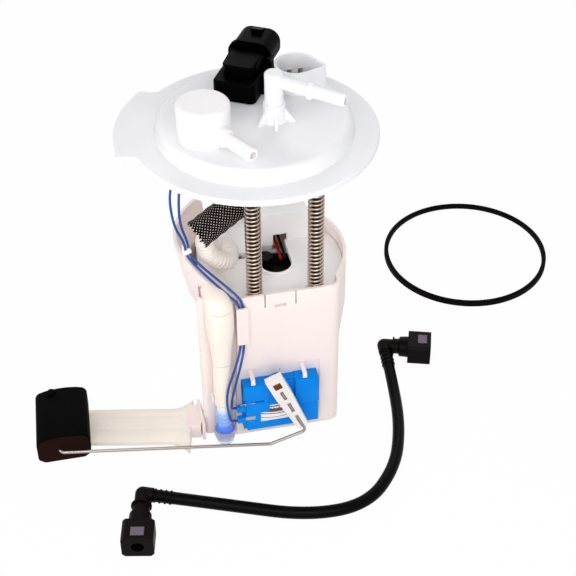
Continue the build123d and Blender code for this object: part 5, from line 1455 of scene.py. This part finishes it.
shaded = add_node(
    tree,
    "ShaderNodeMix",
    {"Factor": 1.0, 6: colour.outputs["Result"], 7: thread_shade.outputs["Result"]},
    data_type="RGBA",
    blend_type="MULTIPLY",
)
relief = add_node(
    tree, "ShaderNodeBump", {"Height": weave.outputs[0], "Strength": 0.5, "Distance": WEAVE_DEPTH}
)
surface = add_node(
    tree,
    "ShaderNodeBsdfPrincipled",
    {
        "Base Color": shaded.outputs["Result"],
        "Roughness": 0.6,
        "Subsurface Weight": 0.4,
        "Subsurface Radius": (1.0, 0.9, 0.8),
        "Subsurface Scale": 2.0 * MM,
        "Normal": relief.outputs["Normal"],
    },
)
close_material(tree, surface.outputs[0])
print("weave, mm:", WEAVE_MM)

# %% [markdown]
# ## Strainer bag
#
# The bag is heat sealed round its edge over a plastic spacer, so it swells between flat rims, dips in two
# channels beside the spacer's rails and rounds off at its far end. It starts as a grid that is shaped as
# the upper face, and a mirrored copy, joined at the rims, closes the pillow. A flared frame at the neck end
# holds it open.

# %% Strainer bag
SEAL_EDGE = 1.6
SEAL_HALF_THICK = 0.35
SWELL_LENGTH = 3.2
END_ROUNDING = 9.0
END_NARROWING = 0.3
NECK_OPENING = 4.0
CHANNEL_DEPTH = 0.10
CHANNEL_PLACE = 0.36
CHANNEL_WIDTH = 2.2
SAG_DEPTH = 0.12
FLARE_LENGTH = 14.0
FLARE_WIDER = 0.42
FLARE_THICKER = 1.5
half_width = SOCK_WIDTH / 2
bag = bmesh.new()
bmesh.ops.create_grid(bag, x_segments=72, y_segments=40, size=0.5)
sock_turn = math.atan2(SOCK_AXIS.y, SOCK_AXIS.x)
sock_place = Matrix.Translation(SOCK_ROOT * MM) @ Matrix.Rotation(sock_turn, 4, "Z")
for vertex in bag.verts:
    along = (vertex.co.x + 0.5) * SOCK_LENGTH
    across = vertex.co.y * SOCK_WIDTH
    corner = max(0.0, along - (SOCK_LENGTH - END_ROUNDING)) / END_ROUNDING
    narrow = 1.0 - END_NARROWING * (1 - math.sqrt(max(0.0, 1 - corner**2)))
    from_side = half_width - abs(across)
    from_end = min(along + NECK_OPENING, SOCK_LENGTH - along)
    swell = math.tanh(max(0.0, min(from_side, from_end) - SEAL_EDGE) / SWELL_LENGTH)
    from_channel = abs(across) - half_width * CHANNEL_PLACE
    channel = 1.0 - CHANNEL_DEPTH * math.exp(-(from_channel**2) / CHANNEL_WIDTH)
    sag = 1.0 - SAG_DEPTH * math.sin(math.pi * along / SOCK_LENGTH) ** 2
    flare = max(0.0, 1 - along / FLARE_LENGTH) ** 2
    half_thick = SEAL_HALF_THICK + (SOCK_THICK / 2 - SEAL_HALF_THICK) * swell * channel * sag
    vertex.co = (
        (SOCK_START + along) * MM,
        (SOCK_FORWARD + across * (narrow + FLARE_WIDER * flare)) * MM,
        (half_thick + FLARE_THICKER * flare) * MM,
    )
under = bmesh.ops.duplicate(bag, geom=bag.verts[:] + bag.edges[:] + bag.faces[:])["geom"]
under_verts = [g for g in under if isinstance(g, bmesh.types.BMVert)]
bmesh.ops.scale(bag, vec=(1, 1, -1), verts=under_verts)
rims = [e for e in bag.edges if e.is_boundary]
bmesh.ops.bridge_loops(bag, edges=rims)
bmesh.ops.transform(bag, matrix=sock_place, verts=bag.verts[:])
sock = make_piece("strainer_bag", bag, "reservoir", fabric, "strainer_sock")

# %% [markdown]
# ## Jumper hose
#
# The loose hose that comes with the module joins it to the tank's fuel line. It is a stiff black nylon
# tube, so it keeps the bends it was formed with, and each end is pushed on a quick connector. It lies on
# the floor as a single smooth curve with a round section, which the curve's own bevel gives.

# %% Jumper hose
JUMPER_DIAMETER = 8.0
jumper_route = (
    (90.4, 2.0, -198.3),
    (87.5, -32.0, -202.5),
    (81.0, -68.0, -202.5),
    (68.5, -101.0, -202.5),
    (43.0, -128.0, -202.5),
    (4.0, -128.7, -202.5),
    (-42.0, -110.0, -202.5),
    (-88.5, -95.0, -198.3),
)
jumper_data = flowing_curve("jumper_hose_tube", jumper_route)
jumper_data.bevel_depth = JUMPER_DIAMETER / 2 * MM
jumper_data.bevel_resolution = 6
jumper_data.use_fill_caps = True
jumper = bpy.data.objects.new("jumper_hose_tube", jumper_data)
bpy.context.scene.collection.objects.link(jumper)
paint(jumper, hose_nylon)
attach(jumper, "jumper")
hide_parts("jumper_hose")
print("jumper hose stations:", len(jumper_route))

# %% [markdown]
# ## Bulges over the barbs
#
# A connector's stem has sharp rings, called barbs. The hose is pushed over them and swells at each one, and
# that is what holds it. A short sweep over each end of the hose's own line, with a radius that rises at
# every barb, shows them.

# %% Bulges over the barbs
BARB_PITCH = 3.4
BARB_COUNT = 4
BARB_STEP_MM = 0.4
BARB_HEIGHT = 0.6
BARB_CLEARANCE = 0.05
BARB_ROUNDING = 0.7
jumper_line = line_through("jumper_line", jumper_route, BARB_STEP_MM)[0]


def barb_radius(along):
    rise = max(0.0, math.sin(math.tau * along / BARB_PITCH)) ** BARB_ROUNDING
    return JUMPER_DIAMETER / 2 + BARB_CLEARANCE + BARB_HEIGHT * rise


barb_stations = round(BARB_PITCH * BARB_COUNT / BARB_STEP_MM)
hose_ends = {
    "upper": jumper_line[: barb_stations + 1],
    "lower": jumper_line[-barb_stations - 1 :][::-1],
}
for end_name, stations in hose_ends.items():
    bulge = make_piece(
        f"hose_barb_bulge_{end_name}", swept(stations, barb_radius, sides=32), "jumper", hose_nylon
    )

# Its pieces then stay together wherever it is laid.

# %% [markdown]
